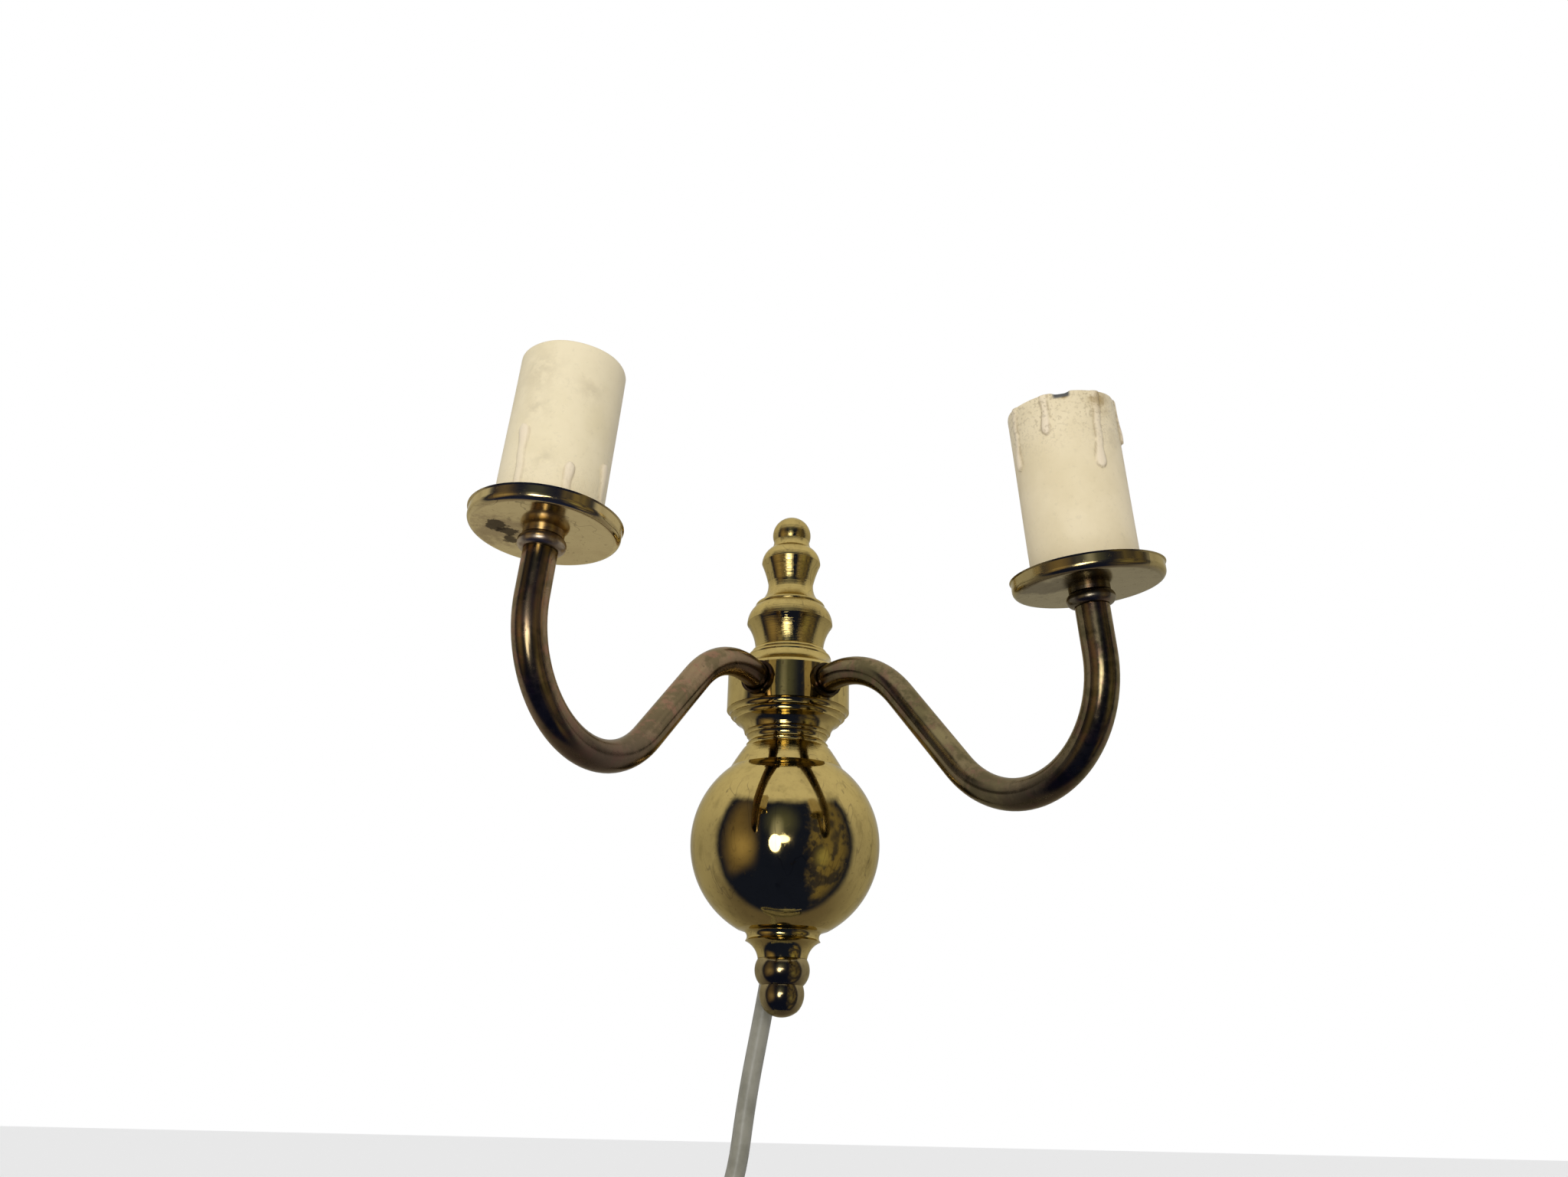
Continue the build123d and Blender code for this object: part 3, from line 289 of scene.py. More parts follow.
# %% Ends of the arms
def arm_end(side):
    """The pan's underside on its arm's axis, and the frame there: outward, across, up the axis."""
    sign, lift, twist = arm_turns[side]
    outward = Vector((sign * sin(arm_azimuth), -cos(arm_azimuth), 0))
    across = outward.cross(Vector((0, 0, 1)))
    heading = Matrix.Rotation(lift, 3, across) @ outward
    normal = Matrix.Rotation(twist, 3, outward) @ across
    heading = (heading - normal * heading.dot(normal)).normalized()
    rising = normal.cross(heading)
    path = Vector((root_outside * cos(root_rise), root_outside * sin(root_rise)))
    path += arc_shift(brow_radius, root_rise, -fall_angle)
    path += slope_length * Vector((cos(fall_angle), -sin(fall_angle)))
    path += arc_shift(bend_radius, -fall_angle, pi / 2)
    path += Vector((0, riser_length))
    root = at(0, -axis_standoff, arm_level) + outward * drum_radius * MM
    return root + (heading * path.x + rising * path.y) * MM, heading, normal, rising


ends = {side: arm_end(side) for side in arm_turns}
for joint in frame["joints"]:
    side = joint["name"].split("_")[0]
    off = (Vector(joint["axis"]) - ends[side][3]).length
    print(side, "end", [round(v * 1000, 2) for v in ends[side][0]], "axis off by", round(off, 6))

# %% [markdown]
# ## Shader maths as plain expressions
# A finish is mostly arithmetic on a few patterns. Set up by hand, every sum
# is a node with its wires. One small class wraps a node's output socket and
# overloads the operators instead, so `1 - mask * 0.5` adds its Math nodes by
# itself.

# %% Value
class Value:
    """An output socket that can be used in expressions with numbers."""

    def __init__(self, finish, socket):
        self.finish = finish
        self.socket = socket

    def math(self, operation, first, second=0.0, clamp=False):
        settings = {"operation": operation, "use_clamp": clamp}
        return self.finish.add("ShaderNodeMath", settings, {0: first, 1: second})

    def __add__(self, other):
        return self.math("ADD", self, other)

    def __sub__(self, other):
        return self.math("SUBTRACT", self, other)

    def __rsub__(self, other):
        return self.math("SUBTRACT", other, self)

    def __mul__(self, other):
        return self.math("MULTIPLY", self, other)

    __radd__ = __add__
    __rmul__ = __mul__

    def larger(self, other):
        return self.math("MAXIMUM", self, other)

    def clamped(self):
        """The value, kept between 0 and 1."""
        return self.math("ADD", self, 0.0, clamp=True)

    def between(self, low, high):
        """0 below low, 1 above high, and smooth in between."""
        return self.finish.add("ShaderNodeMapRange", {"interpolation_type": "SMOOTHSTEP"},
                               {"Value": self, "From Min": low, "From Max": high})


print("beside its operators, a value has", [name for name in vars(Value) if name[0] != "_"])

# %% [markdown]
# ## One method for every node
# Blender has a type of node for each job, and each type could get its own
# function. Since all are made alike, one method does it. It takes the node's
# type, its settings, and what goes into its sockets: a number, a colour, or
# the value of another node. The tree is emptied first, so that nothing of
# Blender's own default stays behind.

# %% Nodes
class Nodes:
    """The nodes of a material, or of the world."""

    def __init__(self, owner):
        self.owner = owner
        owner.use_nodes = True
        self.tree = owner.node_tree
        self.tree.nodes.clear()

    def add(self, kind, settings=None, sockets=None, output=0):
        """One node: its settings first, then the values or links of its sockets."""
        node = self.tree.nodes.new(kind)
        for name, setting in (settings or {}).items():
            setattr(node, name, setting)
        for name, value in (sockets or {}).items():
            socket = node.inputs[name]
            if isinstance(value, Value):
                self.tree.links.new(value.socket, socket)
            elif socket.type == "RGBA":
                socket.default_value = (*value, 1.0)
            else:
                socket.default_value = value
        return Value(self, node.outputs[output]) if node.outputs else None


print("the tree of nodes has", [name for name in vars(Nodes) if name[0] != "_"])

# %% [markdown]
# ## Everyday names for the steps
# A finish reads better as steps that a maker would name than as a list of
# nodes, so each method here adds a node or two under such a name. Colours go
# through Mix, because a Math node would turn them grey. `layered` puts
# several masks over a colour one after another, as coats of paint go on.

# %% Finish
class Finish(Nodes):
    """A finish under construction."""

    def place(self):
        """Where the point is on the object, in metres."""
        return self.add("ShaderNodeTexCoord", output="Object")

    def stretched(self, place, factors):
        """The place times one factor for each axis. A small factor draws a pattern out."""
        return self.add("ShaderNodeVectorMath", {"operation": "MULTIPLY"}, {0: place, 1: factors})

    def parts(self, vector):
        """The three components of a vector."""
        split = self.add("ShaderNodeSeparateXYZ", {}, {0: vector}).socket.node
        return [Value(self, component) for component in split.outputs]

    def noise(self, place, scale, detail, roughness=0.5):
        """A cloudy pattern. A scale of 100 gives clouds of about 10 mm."""
        return self.add("ShaderNodeTexNoise", {}, {"Vector": place, "Scale": scale, "Detail": detail,
                                                   "Roughness": roughness})

    def near(self, place, centre, reach):
        """1 at a place in metres, fading to 0 at a distance."""
        away = self.add("ShaderNodeVectorMath", {"operation": "DISTANCE"}, {0: place, 1: tuple(centre)},
                        output="Value")
        return 1 - away.between(0.0, reach)

    def mark(self, name):
        """A value that the mesh carries at its points."""
        return self.add("ShaderNodeAttribute", {"attribute_name": name}, output="Fac")

    def ray_is(self, kind):
        """1 for one kind of ray, Camera or Glossy, and 0 for the others."""
        return self.add("ShaderNodeLightPath", output=f"Is {kind} Ray")

    def mixed(self, factor, first, second):
        """A colour between two colours. Numbers 6, 7 and 2 are the Mix node's colour sockets."""
        return self.add("ShaderNodeMix", {"data_type": "RGBA"}, {0: factor, 6: first, 7: second}, output=2)

    def layered(self, colour, *layers):
        """A colour with layers painted over it, each a mask and its own colour."""
        for mask, tone in layers:
            colour = self.mixed(mask, colour, tone)
        return colour

    def bump(self, height, distance, strength):
        return self.add("ShaderNodeBump", {}, {"Height": height, "Distance": distance, "Strength": strength})

    def surface(self, **sockets):
        """The principled surface with these sockets, named with _ for a space."""
        named = {name.replace("_", " "): value for name, value in sockets.items()}
        shader = self.add("ShaderNodeBsdfPrincipled", {}, named)
        self.add("ShaderNodeOutputMaterial", {}, {"Surface": shader})
        return self.owner


print("a finish has", [name for name in vars(Finish) if name[0] != "_"])

# %% [markdown]
# ## Dressing a piece
# A finish is a new material under a plain name. A piece of the model may
# have one slot or several from its making, so all of them get the same
# finish, and its mesh is left alone.

# %% Helpers for dressing
def new_finish(name):
    return Finish(bpy.data.materials.new(name))


def wear(piece, material):
    """Puts one material in every slot of a piece."""
    if not piece.material_slots:
        piece.data.materials.append(material)
    for material_slot in piece.material_slots:
        material_slot.material = material


print("pieces to dress", len(nodes))

# %% [markdown]
# ## Old lacquer on brass
# The turned body is polished brass under lacquer. One smooth yellow metal
# would look like new plating, and a mirror shows its surroundings anyway, so
# the finish stays quiet: soft blotches and fine mottling of tarnish, thumb
# smears that dull it in places, brown specks where the lacquer has failed,
# and thin scratches. A scratch lies where a drawn out noise crosses its
# middle value, which gives long bent lines without drawing any.

# %% Lacquered brass
speck_brown = (0.10, 0.06, 0.025)
scratch_brown = (0.14, 0.10, 0.05)
scratch_sharpness = 12000


def lacquered(finish, place, tint, tarnish):
    """The colour of old lacquered brass, and how much rougher it is in places."""
    blotch = finish.noise(place, scale=55.0, detail=4.0, roughness=0.6).between(0.46, 0.74)
    mottle = finish.noise(place, scale=260.0, detail=5.0, roughness=0.72).between(0.46, 0.66)
    specks = finish.noise(place, scale=900.0, detail=2.0).between(0.64, 0.72)
    smear_place = finish.stretched(place, (1.0, 1.0, 0.35))
    smear = finish.noise(smear_place, scale=120.0, detail=3.0, roughness=0.65).between(0.42, 0.70)
    contour = finish.noise(finish.stretched(place, (1.0, 1.0, 0.3)), scale=130.0, detail=2.0) - 0.5
    handled = finish.noise(place, scale=70.0, detail=2.0).between(0.46, 0.58)
    scratch = (1 - contour * contour * scratch_sharpness).clamped() * handled
    failed = specks * (blotch * 0.6 + 0.2)
    colour = finish.layered(tint, (blotch * 0.7, tarnish), (failed, speck_brown),
                            (scratch * 0.45, scratch_brown), (mottle * 0.30, tarnish))
    return colour, smear * 0.07 + specks * 0.12


print("scratch tone", scratch_brown, "speck tone", speck_brown)

# %% [markdown]
# ## Turning lines
# A lathe leaves fine rings round the piece. Buffing took them off the ball,
# but between the knobs and rings above it the wheel doesn't reach, and there
# they spread each glint along the height. Rings in the mesh would be far
# thinner than a pixel, so a noise that changes fast along Z and slowly
# around makes them in the bump alone.

# %% Relief of turned brass
buffed_below = at(0, 0, 22).z      # the ball's shoulder
lined_above = at(0, 0, 27).z       # where the neck begins
line_stretch = (8.0, 8.0, 5000.0)
faint_lines = 0.06
wave_share = 0.88


def turned_relief(finish, place, turned):
    """Turning lines above the ball, over the soft waves that polishing leaves."""
    lines = finish.noise(finish.stretched(place, line_stretch), scale=1.0, detail=2.0)
    above_ball = finish.parts(place)[2].between(buffed_below, lined_above)
    waves = finish.noise(place, scale=150.0, detail=2.0)
    return lines * (above_ball * turned + faint_lines) + waves * wave_share


print("turning lines from", round(buffed_below, 3), "to", round(lined_above, 3), "m upwards")

# %% [markdown]
# ## Stains and rims
# Under the left pan something has eaten through the lacquer, and each pan's
# rim gets a tone of its own, a painted reflection: darker on the left pan
# and a more golden sheen on the right. Painted images could show this, but
# a stain is only a place and a reach. Its edge is made ragged by adding a
# noise before the fading is cut off, and the rim is all that lies further
# than some 18 mm from the middle of the pan.

# %% Stains and rims
rim_reach = 0.036             # twice the distance at which the rim begins
painted_rim_share = 0.85
stain_and_shade_share = 0.85
stain_roughness = 0.12
raggedness = 1.7


def stained(finish, place, colour, rough, stains):
    """Stains with ragged edges, each a centre, a reach, a tone and its softness."""
    ragged = finish.noise(place, scale=240.0, detail=4.0, roughness=0.7)
    for centre, reach, dirt, softness in stains:
        fading = finish.near(place, centre, reach) + ragged * raggedness - raggedness / 2
        stain_and_shade = fading.between(0.5 - softness, 0.5 + softness)
        colour = finish.mixed(stain_and_shade * stain_and_shade_share, colour, dirt)
        rough = rough + stain_and_shade * stain_roughness
    return colour, rough


def painted_rim_reflection(finish, place, colour, side, tone):
    """A pan's rim in its own tone, which is a painted reflection."""
    outside = 1 - finish.near(place, ends[side][0], rim_reach)
    return finish.mixed(outside.between(0.48, 0.53) * painted_rim_share, colour, tone)


print("rim begins about", round(rim_reach / 2 / MM, 1), "mm from the pan's middle")

# %% [markdown]
# ## Polished brass
# The recipe puts the parts together. Metallic is 1 all over, since lacquer
# this thin hides none of the metal, and the wear only changes its colour
# and roughness. The tint of the glancing reflections is held back a little,
# because bare brass at a low angle would turn white.

# %% Polished brass
brass_glance = (0.80, 0.76, 0.62)


def polished_brass(name, tint, tarnish, dullness, stains=(), rim=None, turned=0.0):
    """Lacquered brass. The rim is a side and the tone of its painted reflection, and turned is how strong
    its lines are.
    """
    finish = new_finish(name)
    place = finish.place()
    colour, rough = lacquered(finish, place, tint, tarnish)
    rough = rough + dullness
    if stains:
        colour, rough = stained(finish, place, colour, rough, stains)
    if rim:
        colour = painted_rim_reflection(finish, place, colour, *rim)
    relief = finish.bump(turned_relief(finish, place, turned), distance=0.00005, strength=0.5)
    return finish.surface(Base_Color=colour, Metallic=1.0, Roughness=rough.clamped(),
                          Specular_Tint=brass_glance, Normal=relief)


print("glancing tint", brass_glance)

# %% [markdown]
# ## The finial and the pans
# The end finial is darker than the body, a painted shade for the shadow of
# the ball above it. The pans are flat and face down, so they show one broad
# reflection each and need tones of their own: the left one is clean and
# pale with a dark stain beside the collar, the right one is dull.

# %% Finial and pans
black_dirt = (0.06, 0.04, 0.03)
left_pan_stains = [
    (at(-76.0, -113.5, 54.3), 0.0150, (0.55, 0.41, 0.22), 0.30),
    (at(-77.8, -116.2, 54.4), 0.0058, black_dirt, 0.10),
    (at(-75.4, -113.7, 54.2), 0.0056, black_dirt, 0.10),
    (at(-75.2, -109.0, 54.0), 0.0050, (0.08, 0.055, 0.035), 0.12),
]
right_pan_stains = [(at(55.6, -117.8, 44.2), 0.0120, (0.17, 0.13, 0.085), 0.25)]
tarnish_and_painted_light_pieces = {
    # the finial's darker tints are a painted shade under the ball
    "end_finial": polished_brass("finial_brass_painted_shade", (0.31, 0.24, 0.115), (0.20, 0.145, 0.065), 0.14),
    # each rim tone is a painted reflection, darker on the left pan, golden on the right
    "left_drip_pan": polished_brass("left_pan_brass", (0.90, 0.72, 0.36), (0.74, 0.57, 0.28), 0.12,
                                    left_pan_stains, rim=("left", (0.50, 0.38, 0.17))),
    "right_drip_pan": polished_brass("right_pan_brass", (0.36, 0.295, 0.18), (0.25, 0.20, 0.12), 0.16,
                                     right_pan_stains, rim=("right", (0.46, 0.35, 0.14))),
}
for name, material in tarnish_and_painted_light_pieces.items():
    wear(nodes[name], material)
print("dressed", ", ".join(tarnish_and_painted_light_pieces))

# %% [markdown]
# ## The turned body
# Baluster, drum and ball are one brass, but not worked alike. The baluster's
# knobs keep strong turning lines, the drum is a plain buffed band, and the
# piece with the ball keeps some lines on its neck.

# %% Turned body
body_tint = (0.545, 0.41, 0.145)
body_tarnish = (0.385, 0.28, 0.10)
body_dullness = 0.05
line_strength = {"upper_baluster": 2.6, "drum_hub": 0.2, "ball_shell": 1.1}
for name, turned in line_strength.items():
    body_brass = polished_brass(f"{name}_brass", body_tint, body_tarnish, body_dullness, turned=turned)
    wear(nodes[name], body_brass)
print("turning lines", line_strength)

# %% [markdown]
# ## Patinated brass
# The arms are the same metal without lacquer, left to brown. Handling keeps
# a few streaks bright, and the patina turns reddish in patches. Noises of
# different sizes choose between the tones, and the brown parts are also
# rougher. Painted shades darken the roots and the bottoms of the bends,
# where the arms face the drum and each other.

# %% Patinated brass
patina_glance = (0.75, 0.70, 0.60)
patina_speck = (0.05, 0.035, 0.025)
painted_shade_brown = (0.085, 0.06, 0.05)
arm_dullness = 0.19


def patinated_brass(name, dark, brown, bright, dullness, painted_shades=(), red=(0.24, 0.13, 0.09)):
    """Browned brass. Each painted shade is a centre, a reach and a share."""
    finish = new_finish(name)
    place = finish.place()
    cloud = finish.noise(place, scale=95.0, detail=4.0, roughness=0.6)
    fine = finish.noise(place, scale=520.0, detail=4.0, roughness=0.65)
    browned = (cloud * 0.7 + fine * 0.3).between(0.44, 0.56)
    rubbed = finish.noise(place, scale=40.0, detail=4.0, roughness=0.6).between(0.50, 0.70)
    reddish = finish.noise(place, scale=170.0, detail=5.0, roughness=0.7).between(0.50, 0.62)
    specks = fine.between(0.60, 0.70)
    colour = finish.layered(dark, (browned, brown), (rubbed * 0.6, bright), (reddish * 0.55, red),
                            (specks * 0.35, patina_speck))
    # painted shade at the roots and the bottoms of the bends
    for centre, reach, share in painted_shades:
        colour = finish.mixed(finish.near(place, centre, reach) * share, colour, painted_shade_brown)
    rough = browned * 0.05 + specks * 0.08 - rubbed * 0.03 + dullness
    relief = finish.bump(fine * 0.5 + cloud * 0.5, distance=0.00005, strength=0.25)
    return finish.surface(Base_Color=colour, Metallic=1.0, Roughness=rough.clamped(),
                          Specular_Tint=patina_glance, Normal=relief)


print("shades are mixed towards", painted_shade_brown)

# %% [markdown]
# ## Arms and collars
# The two arms aged differently: the left one is warmer and reddish, the
# right one darker and more olive. Each arm shares its finish with the small
# collar at its root. The seat collars under the pans have their own tones:
# the left one is pale as a painted highlight, the right one dark like its arm.

# %% Arms and collars
# painted shades: at the bottom of each bend and at each root
left_painted_shades = [(at(-51, -89, 3), 0.036, 0.75), (at(-12, -27, 48), 0.026, 0.75)]
right_painted_shades = [(at(54, -91, 0), 0.026, 0.5), (at(12, -27, 48), 0.018, 0.5)]
arm_finishes = {
    "left": patinated_brass("left_arm_brass", (0.18, 0.135, 0.072), (0.30, 0.205, 0.12), (0.40, 0.305, 0.15),
                            arm_dullness, left_painted_shades, red=(0.36, 0.175, 0.12)),
    "right": patinated_brass("right_arm_brass", (0.13, 0.105, 0.052), (0.235, 0.18, 0.095),
                             (0.31, 0.255, 0.115), arm_dullness, right_painted_shades),
}
# the left seat collar's pale tones are a painted highlight
collar_finishes_with_painted_highlight = {
    "left": patinated_brass("left_collar_brass_painted_highlight", (0.46, 0.37, 0.26), (0.60, 0.49, 0.34),
                            (0.74, 0.61, 0.41), 0.30),
    "right": patinated_brass("right_collar_brass", (0.17, 0.145, 0.10), (0.25, 0.215, 0.15),
                             (0.36, 0.31, 0.20), 0.26),
}
for side in arm_turns:
    wear(nodes[f"{side}_arm_tube"], arm_finishes[side])
    wear(nodes[f"{side}_root_collar"], arm_finishes[side])
    wear(nodes[f"{side}_seat_collar"], collar_finishes_with_painted_highlight[side])
print("arms and collars dressed", len(arm_finishes) + len(collar_finishes_with_painted_highlight))

# %% [markdown]
# ## Small metal parts
# Plate, screws, rod and nuts are zinc plated steel with an uneven sheen.
# Contacts and threads are stamped brass, and the plug's pins are nickel.
# They barely show from the front, yet a view from behind has to hold up, so
# one recipe gives each a tone, a second tone in patches, and a drawn grain.

# %% Plated metal
def plated_metal(name, tone, shade, dullness, grain):
    """Plated or stamped metal. A grain below 1 is drawn out along the height."""
    finish = new_finish(name)
    place = finish.place()
    patches = finish.noise(place, scale=160.0, detail=3.0, roughness=0.6).between(0.35, 0.7)
    fine = finish.noise(finish.stretched(place, (1.0, 1.0, grain)), scale=700.0, detail=2.0)
    relief = finish.bump(fine, distance=0.00003, strength=0.4)
    return finish.surface(Base_Color=finish.mixed(patches, tone, shade), Metallic=1.0,
                          Roughness=(fine * 0.18 + dullness).clamped(), Normal=relief)


zinc_steel = plated_metal("zinc_steel", (0.62, 0.62, 0.60), (0.50, 0.50, 0.47), 0.26, 0.4)
stamped_brass = plated_metal("stamped_brass", (0.74, 0.58, 0.30), (0.60, 0.44, 0.20), 0.22, 0.5)
nickel = plated_metal("nickel", (0.72, 0.70, 0.66), (0.60, 0.58, 0.54), 0.16, 1.0)
steel_names = ["hanging_plate", "plate_screws", "tie_rod", "tie_rod_nut", "block_screw", "terminal_screws",
               "cord_clamp", "cord_clamp_screws", "arm_washers", "arm_nuts"]
brass_names = ["terminal_sleeves", "left_lampholder_thread", "left_lampholder_contact",
               "right_lampholder_thread", "right_lampholder_contact"]
for name in steel_names:
    wear(nodes[name], zinc_steel)
for name in brass_names:
    wear(nodes[name], stamped_brass)
wear(nodes["plug_pins"], nickel)
print("steel parts", len(steel_names), "stamped brass parts", len(brass_names))

# %% [markdown]
# ## Plastics
# The cord's sheath is grey PVC that has yellowed to olive, the lampholders
# are black moulded resin, and the terminal block is pale. One recipe makes
# them all: a base tone, a second tone in soft patches, fine grain, and some
# roughness variation, since real plastic picks up handling marks.

# %% Plastics
def plastic(name, tone, second, dullness, grain_depth, patch_scale=60.0):
    """Moulded plastic, with the depth of its grain in metres."""
    finish = new_finish(name)
    place = finish.place()
    patches = finish.noise(place, patch_scale, detail=4.0, roughness=0.6)
    grain = finish.noise(place, scale=1500.0, detail=2.0)
    rough = grain * 0.16 + patches * 0.12 + dullness
    relief = finish.bump(grain, distance=grain_depth, strength=0.5)
    return finish.surface(Base_Color=finish.mixed(patches.between(0.38, 0.68), tone, second),
                          Roughness=rough.clamped(), Normal=relief)


sheath = plastic("sheath", (0.33, 0.315, 0.25), (0.25, 0.24, 0.185), 0.24, 0.00002, patch_scale=140.0)
black_resin = plastic("black_resin", (0.035, 0.033, 0.03), (0.06, 0.055, 0.05), 0.30, 0.00003)
pale_block = plastic("pale_block", (0.80, 0.79, 0.74), (0.72, 0.70, 0.63), 0.32, 0.00003)
wire_jacket = plastic("wire_jacket", (0.70, 0.68, 0.62), (0.60, 0.57, 0.50), 0.34, 0.00002)
tie_plastic = plastic("tie_plastic", (0.03, 0.03, 0.03), (0.05, 0.05, 0.05), 0.36, 0.00003)
plug_plastic = plastic("plug_plastic", (0.40, 0.40, 0.34), (0.33, 0.33, 0.27), 0.34, 0.00005)
wear(mains_lead, sheath)
wear(nodes["terminal_block"], pale_block)
wear(nodes["coil_tie"], tie_plastic)
wear(nodes["plug_body"], plug_plastic)
for side in arm_turns:
    wear(nodes[f"{side}_lampholder_body"], black_resin)
    wear(nodes[f"{side}_arm_wire"], wire_jacket)
plastics = (sheath, black_resin, pale_block, wire_jacket, tie_plastic, plug_plastic)
print("plastics", [material.name for material in plastics])

# %% [markdown]
# ## Ivory finish of the sleeves
# The sleeves are moulded ivory plastic with a waxy look. A painted shade
# darkens the wall beside the drips, the end that they run from has fine
# dark crackle, and heat has left a brown spot at one rim. Noise alone would
# put these marks anywhere, so the mesh carries them as values at its
# points, and stain, painted shade and relief agree. Past 1, the value of
# the brown spot means the black slit in the rim, a painted shade for the
# dark inside seen through the rim's notch.

# %% Ivory
sleeve_marks = ("drip_edge", "scorch_and_slit_shade", "wax", "crackle", "smudge")
smudge_tone = (0.60, 0.50, 0.31)
wax_tone = (0.92, 0.78, 0.60)
dirt_tone = (0.45, 0.38, 0.24)
crackle_tone = (0.36, 0.28, 0.16)
scorch_tone = (0.40, 0.27, 0.09)
# painted shade of the slit in the rim
slit_painted_shade = (0.10, 0.10, 0.09)


def ivory_finish(name, pale, deep, stain_and_shade, stain_and_shade_share, crackle_share):
    """Ivory plastic that reads the marks of its sleeve."""
    finish = new_finish(name)
    place = finish.place()
    edge, scorch_and_slit_shade, wax, crackle, smudge = [finish.mark(mark) for mark in sleeve_marks]
    cloud = finish.noise(place, scale=60.0, detail=4.0, roughness=0.6)
    mottle = finish.noise(place, scale=330.0, detail=3.0, roughness=0.6)
    dirt = finish.noise(place, scale=700.0, detail=3.0, roughness=0.7).between(0.56, 0.72)
    grit = finish.noise(place, scale=1300.0, detail=2.0, roughness=0.6).between(0.50, 0.66)
    smudged = (smudge * mottle.between(0.30, 0.65) * 0.45).clamped()
    crackled = crackle * grit
    shade_beside_drips = (edge * mottle.between(0.30, 0.55) * stain_and_shade_share).clamped()
    scorched = (scorch_and_slit_shade * mottle.between(0.36, 0.58) * 0.8).clamped()
    # the stain beside the drips is a painted shade along each drip
    colour = finish.layered(pale, (cloud.between(0.35, 0.70), deep), (smudged, smudge_tone),
                            (wax * 0.55, wax_tone), (dirt * 0.12, dirt_tone),
                            (crackled * crackle_share, crackle_tone), (shade_beside_drips, stain_and_shade),
                            # the slit's tone is a painted shade, the dark inside seen through the rim's
                            # notch
                            (scorched, scorch_tone), ((scorch_and_slit_shade - 1).clamped(), slit_painted_shade))
    height = mottle * 0.6 + dirt * 0.3 - crackled * 0.8
    return finish.surface(Base_Color=colour, Roughness=(0.40 + mottle * 0.16).clamped(),
                          Normal=finish.bump(height, distance=0.00012, strength=0.5))


# the third colour is the painted shade beside the drips
ivories = {
    "left": ivory_finish("left_ivory", (0.93, 0.81, 0.545), (0.86, 0.74, 0.47), (0.52, 0.40, 0.24),
                         stain_and_shade_share=0.40, crackle_share=0.10),
    "right": ivory_finish("right_ivory", (0.91, 0.78, 0.52), (0.83, 0.70, 0.44), (0.40, 0.30, 0.16),
                          stain_and_shade_share=0.65, crackle_share=0.45),
}
print("marks read by the ivory", ", ".join(sleeve_marks))

# %% [markdown]
# ## The relief of a drip
# Wax drips are moulded on each sleeve: a thin raised strip that leans a
# little and ends in a thicker, rounded tip. A displacement map would need an
# image, and sculpting by hand can't be repeated, so a function gives the
# height at any point from a drip's two angles, its length and its width.

# %% Relief of the drips
sleeve_radius = 13.5
drip_wander = 0.12       # how far a drip's middle line wanders sideways
tip_share = 0.62         # length of the rounded tip, as a share of the drip's width
thin_share = 0.36        # half width of the thin part, also as a share of the width
tip_growth = 0.16        # what the tip adds to that share
start_growth = 0.10      # what the drip's start adds
swelling = 3             # the stretch over which tip and start swell
thin_relief = 0.42
tip_relief = 0.38
edge_reach = 0.26        # how far beside a drip the painted shade lies


def angle_from(centre, angle):
    """The signed angle from one direction to another, from -180 to 180 degrees."""
    return (angle - centre + 180) % 360 - 180


def drip_height(angle, depth, drips):
    """Relief in mm at an angle and a depth below the dripping end, and how near a drip's edge that is."""
    relief = 0.0
    edge = 0.0
    for first, last, length, width in drips:
        centre = first + (last - first) * min(1.0, depth / length)
        wander = drip_wander * sin(depth * 0.8 + first)
        sideways = abs(radians(angle_from(centre, angle)) * sleeve_radius + wander)
        tip = width * tip_share
        past = depth - (length - tip)
        at_tip = exp(-(past / swelling)**2)
        half = width * (thin_share + tip_growth * at_tip + start_growth * exp(-(depth / swelling)**2))
        if past > 0:
            half *= sqrt(max(0.0, 1 - (past / tip)**2))
        if half > 0 and sideways < half:
            relief = max(relief, (thin_relief + tip_relief * at_tip) * sqrt(1 - (sideways / half)**2))
        beside = sideways - half if depth < length else sqrt(sideways**2 + (depth - length)**2)
        edge = max(edge, exp(-(beside / edge_reach)**2))
    return relief, edge


print("relief in the middle of a drip", round(drip_height(0, 8, [(0, 0, 20, 3)])[0], 2), "mm")

# %% [markdown]
# ## The section of a sleeve
# A sleeve is a tube, so its mesh is a section turned about the axis. Rings
# lie close together on the outer wall, where the drips need them, and far
# apart in the bore. The rim isn't flat: it sags unevenly, with a shallow
# notch, since these sleeves were moulded to look like burnt down candles.

# %% Section of a sleeve
sleeve_inner = 12.1
sleeve_foot = 0.95       # height of the sleeve's foot above the pan's underside
sleeve_length = 46.8
around = 288             # points in a ring
along = 150              # rings on the outer wall
bore = 0                 # zone of the inside and the foot
wall = 1                 # the outside, with its drips
rim = 2                  # the top edge
notch_angle = 49
notch_width = 9          # degrees to either side
notch_depth = 0.7
mean_sag = 0.16
sag_depth = 0.8          # how far down the wall follows the rim


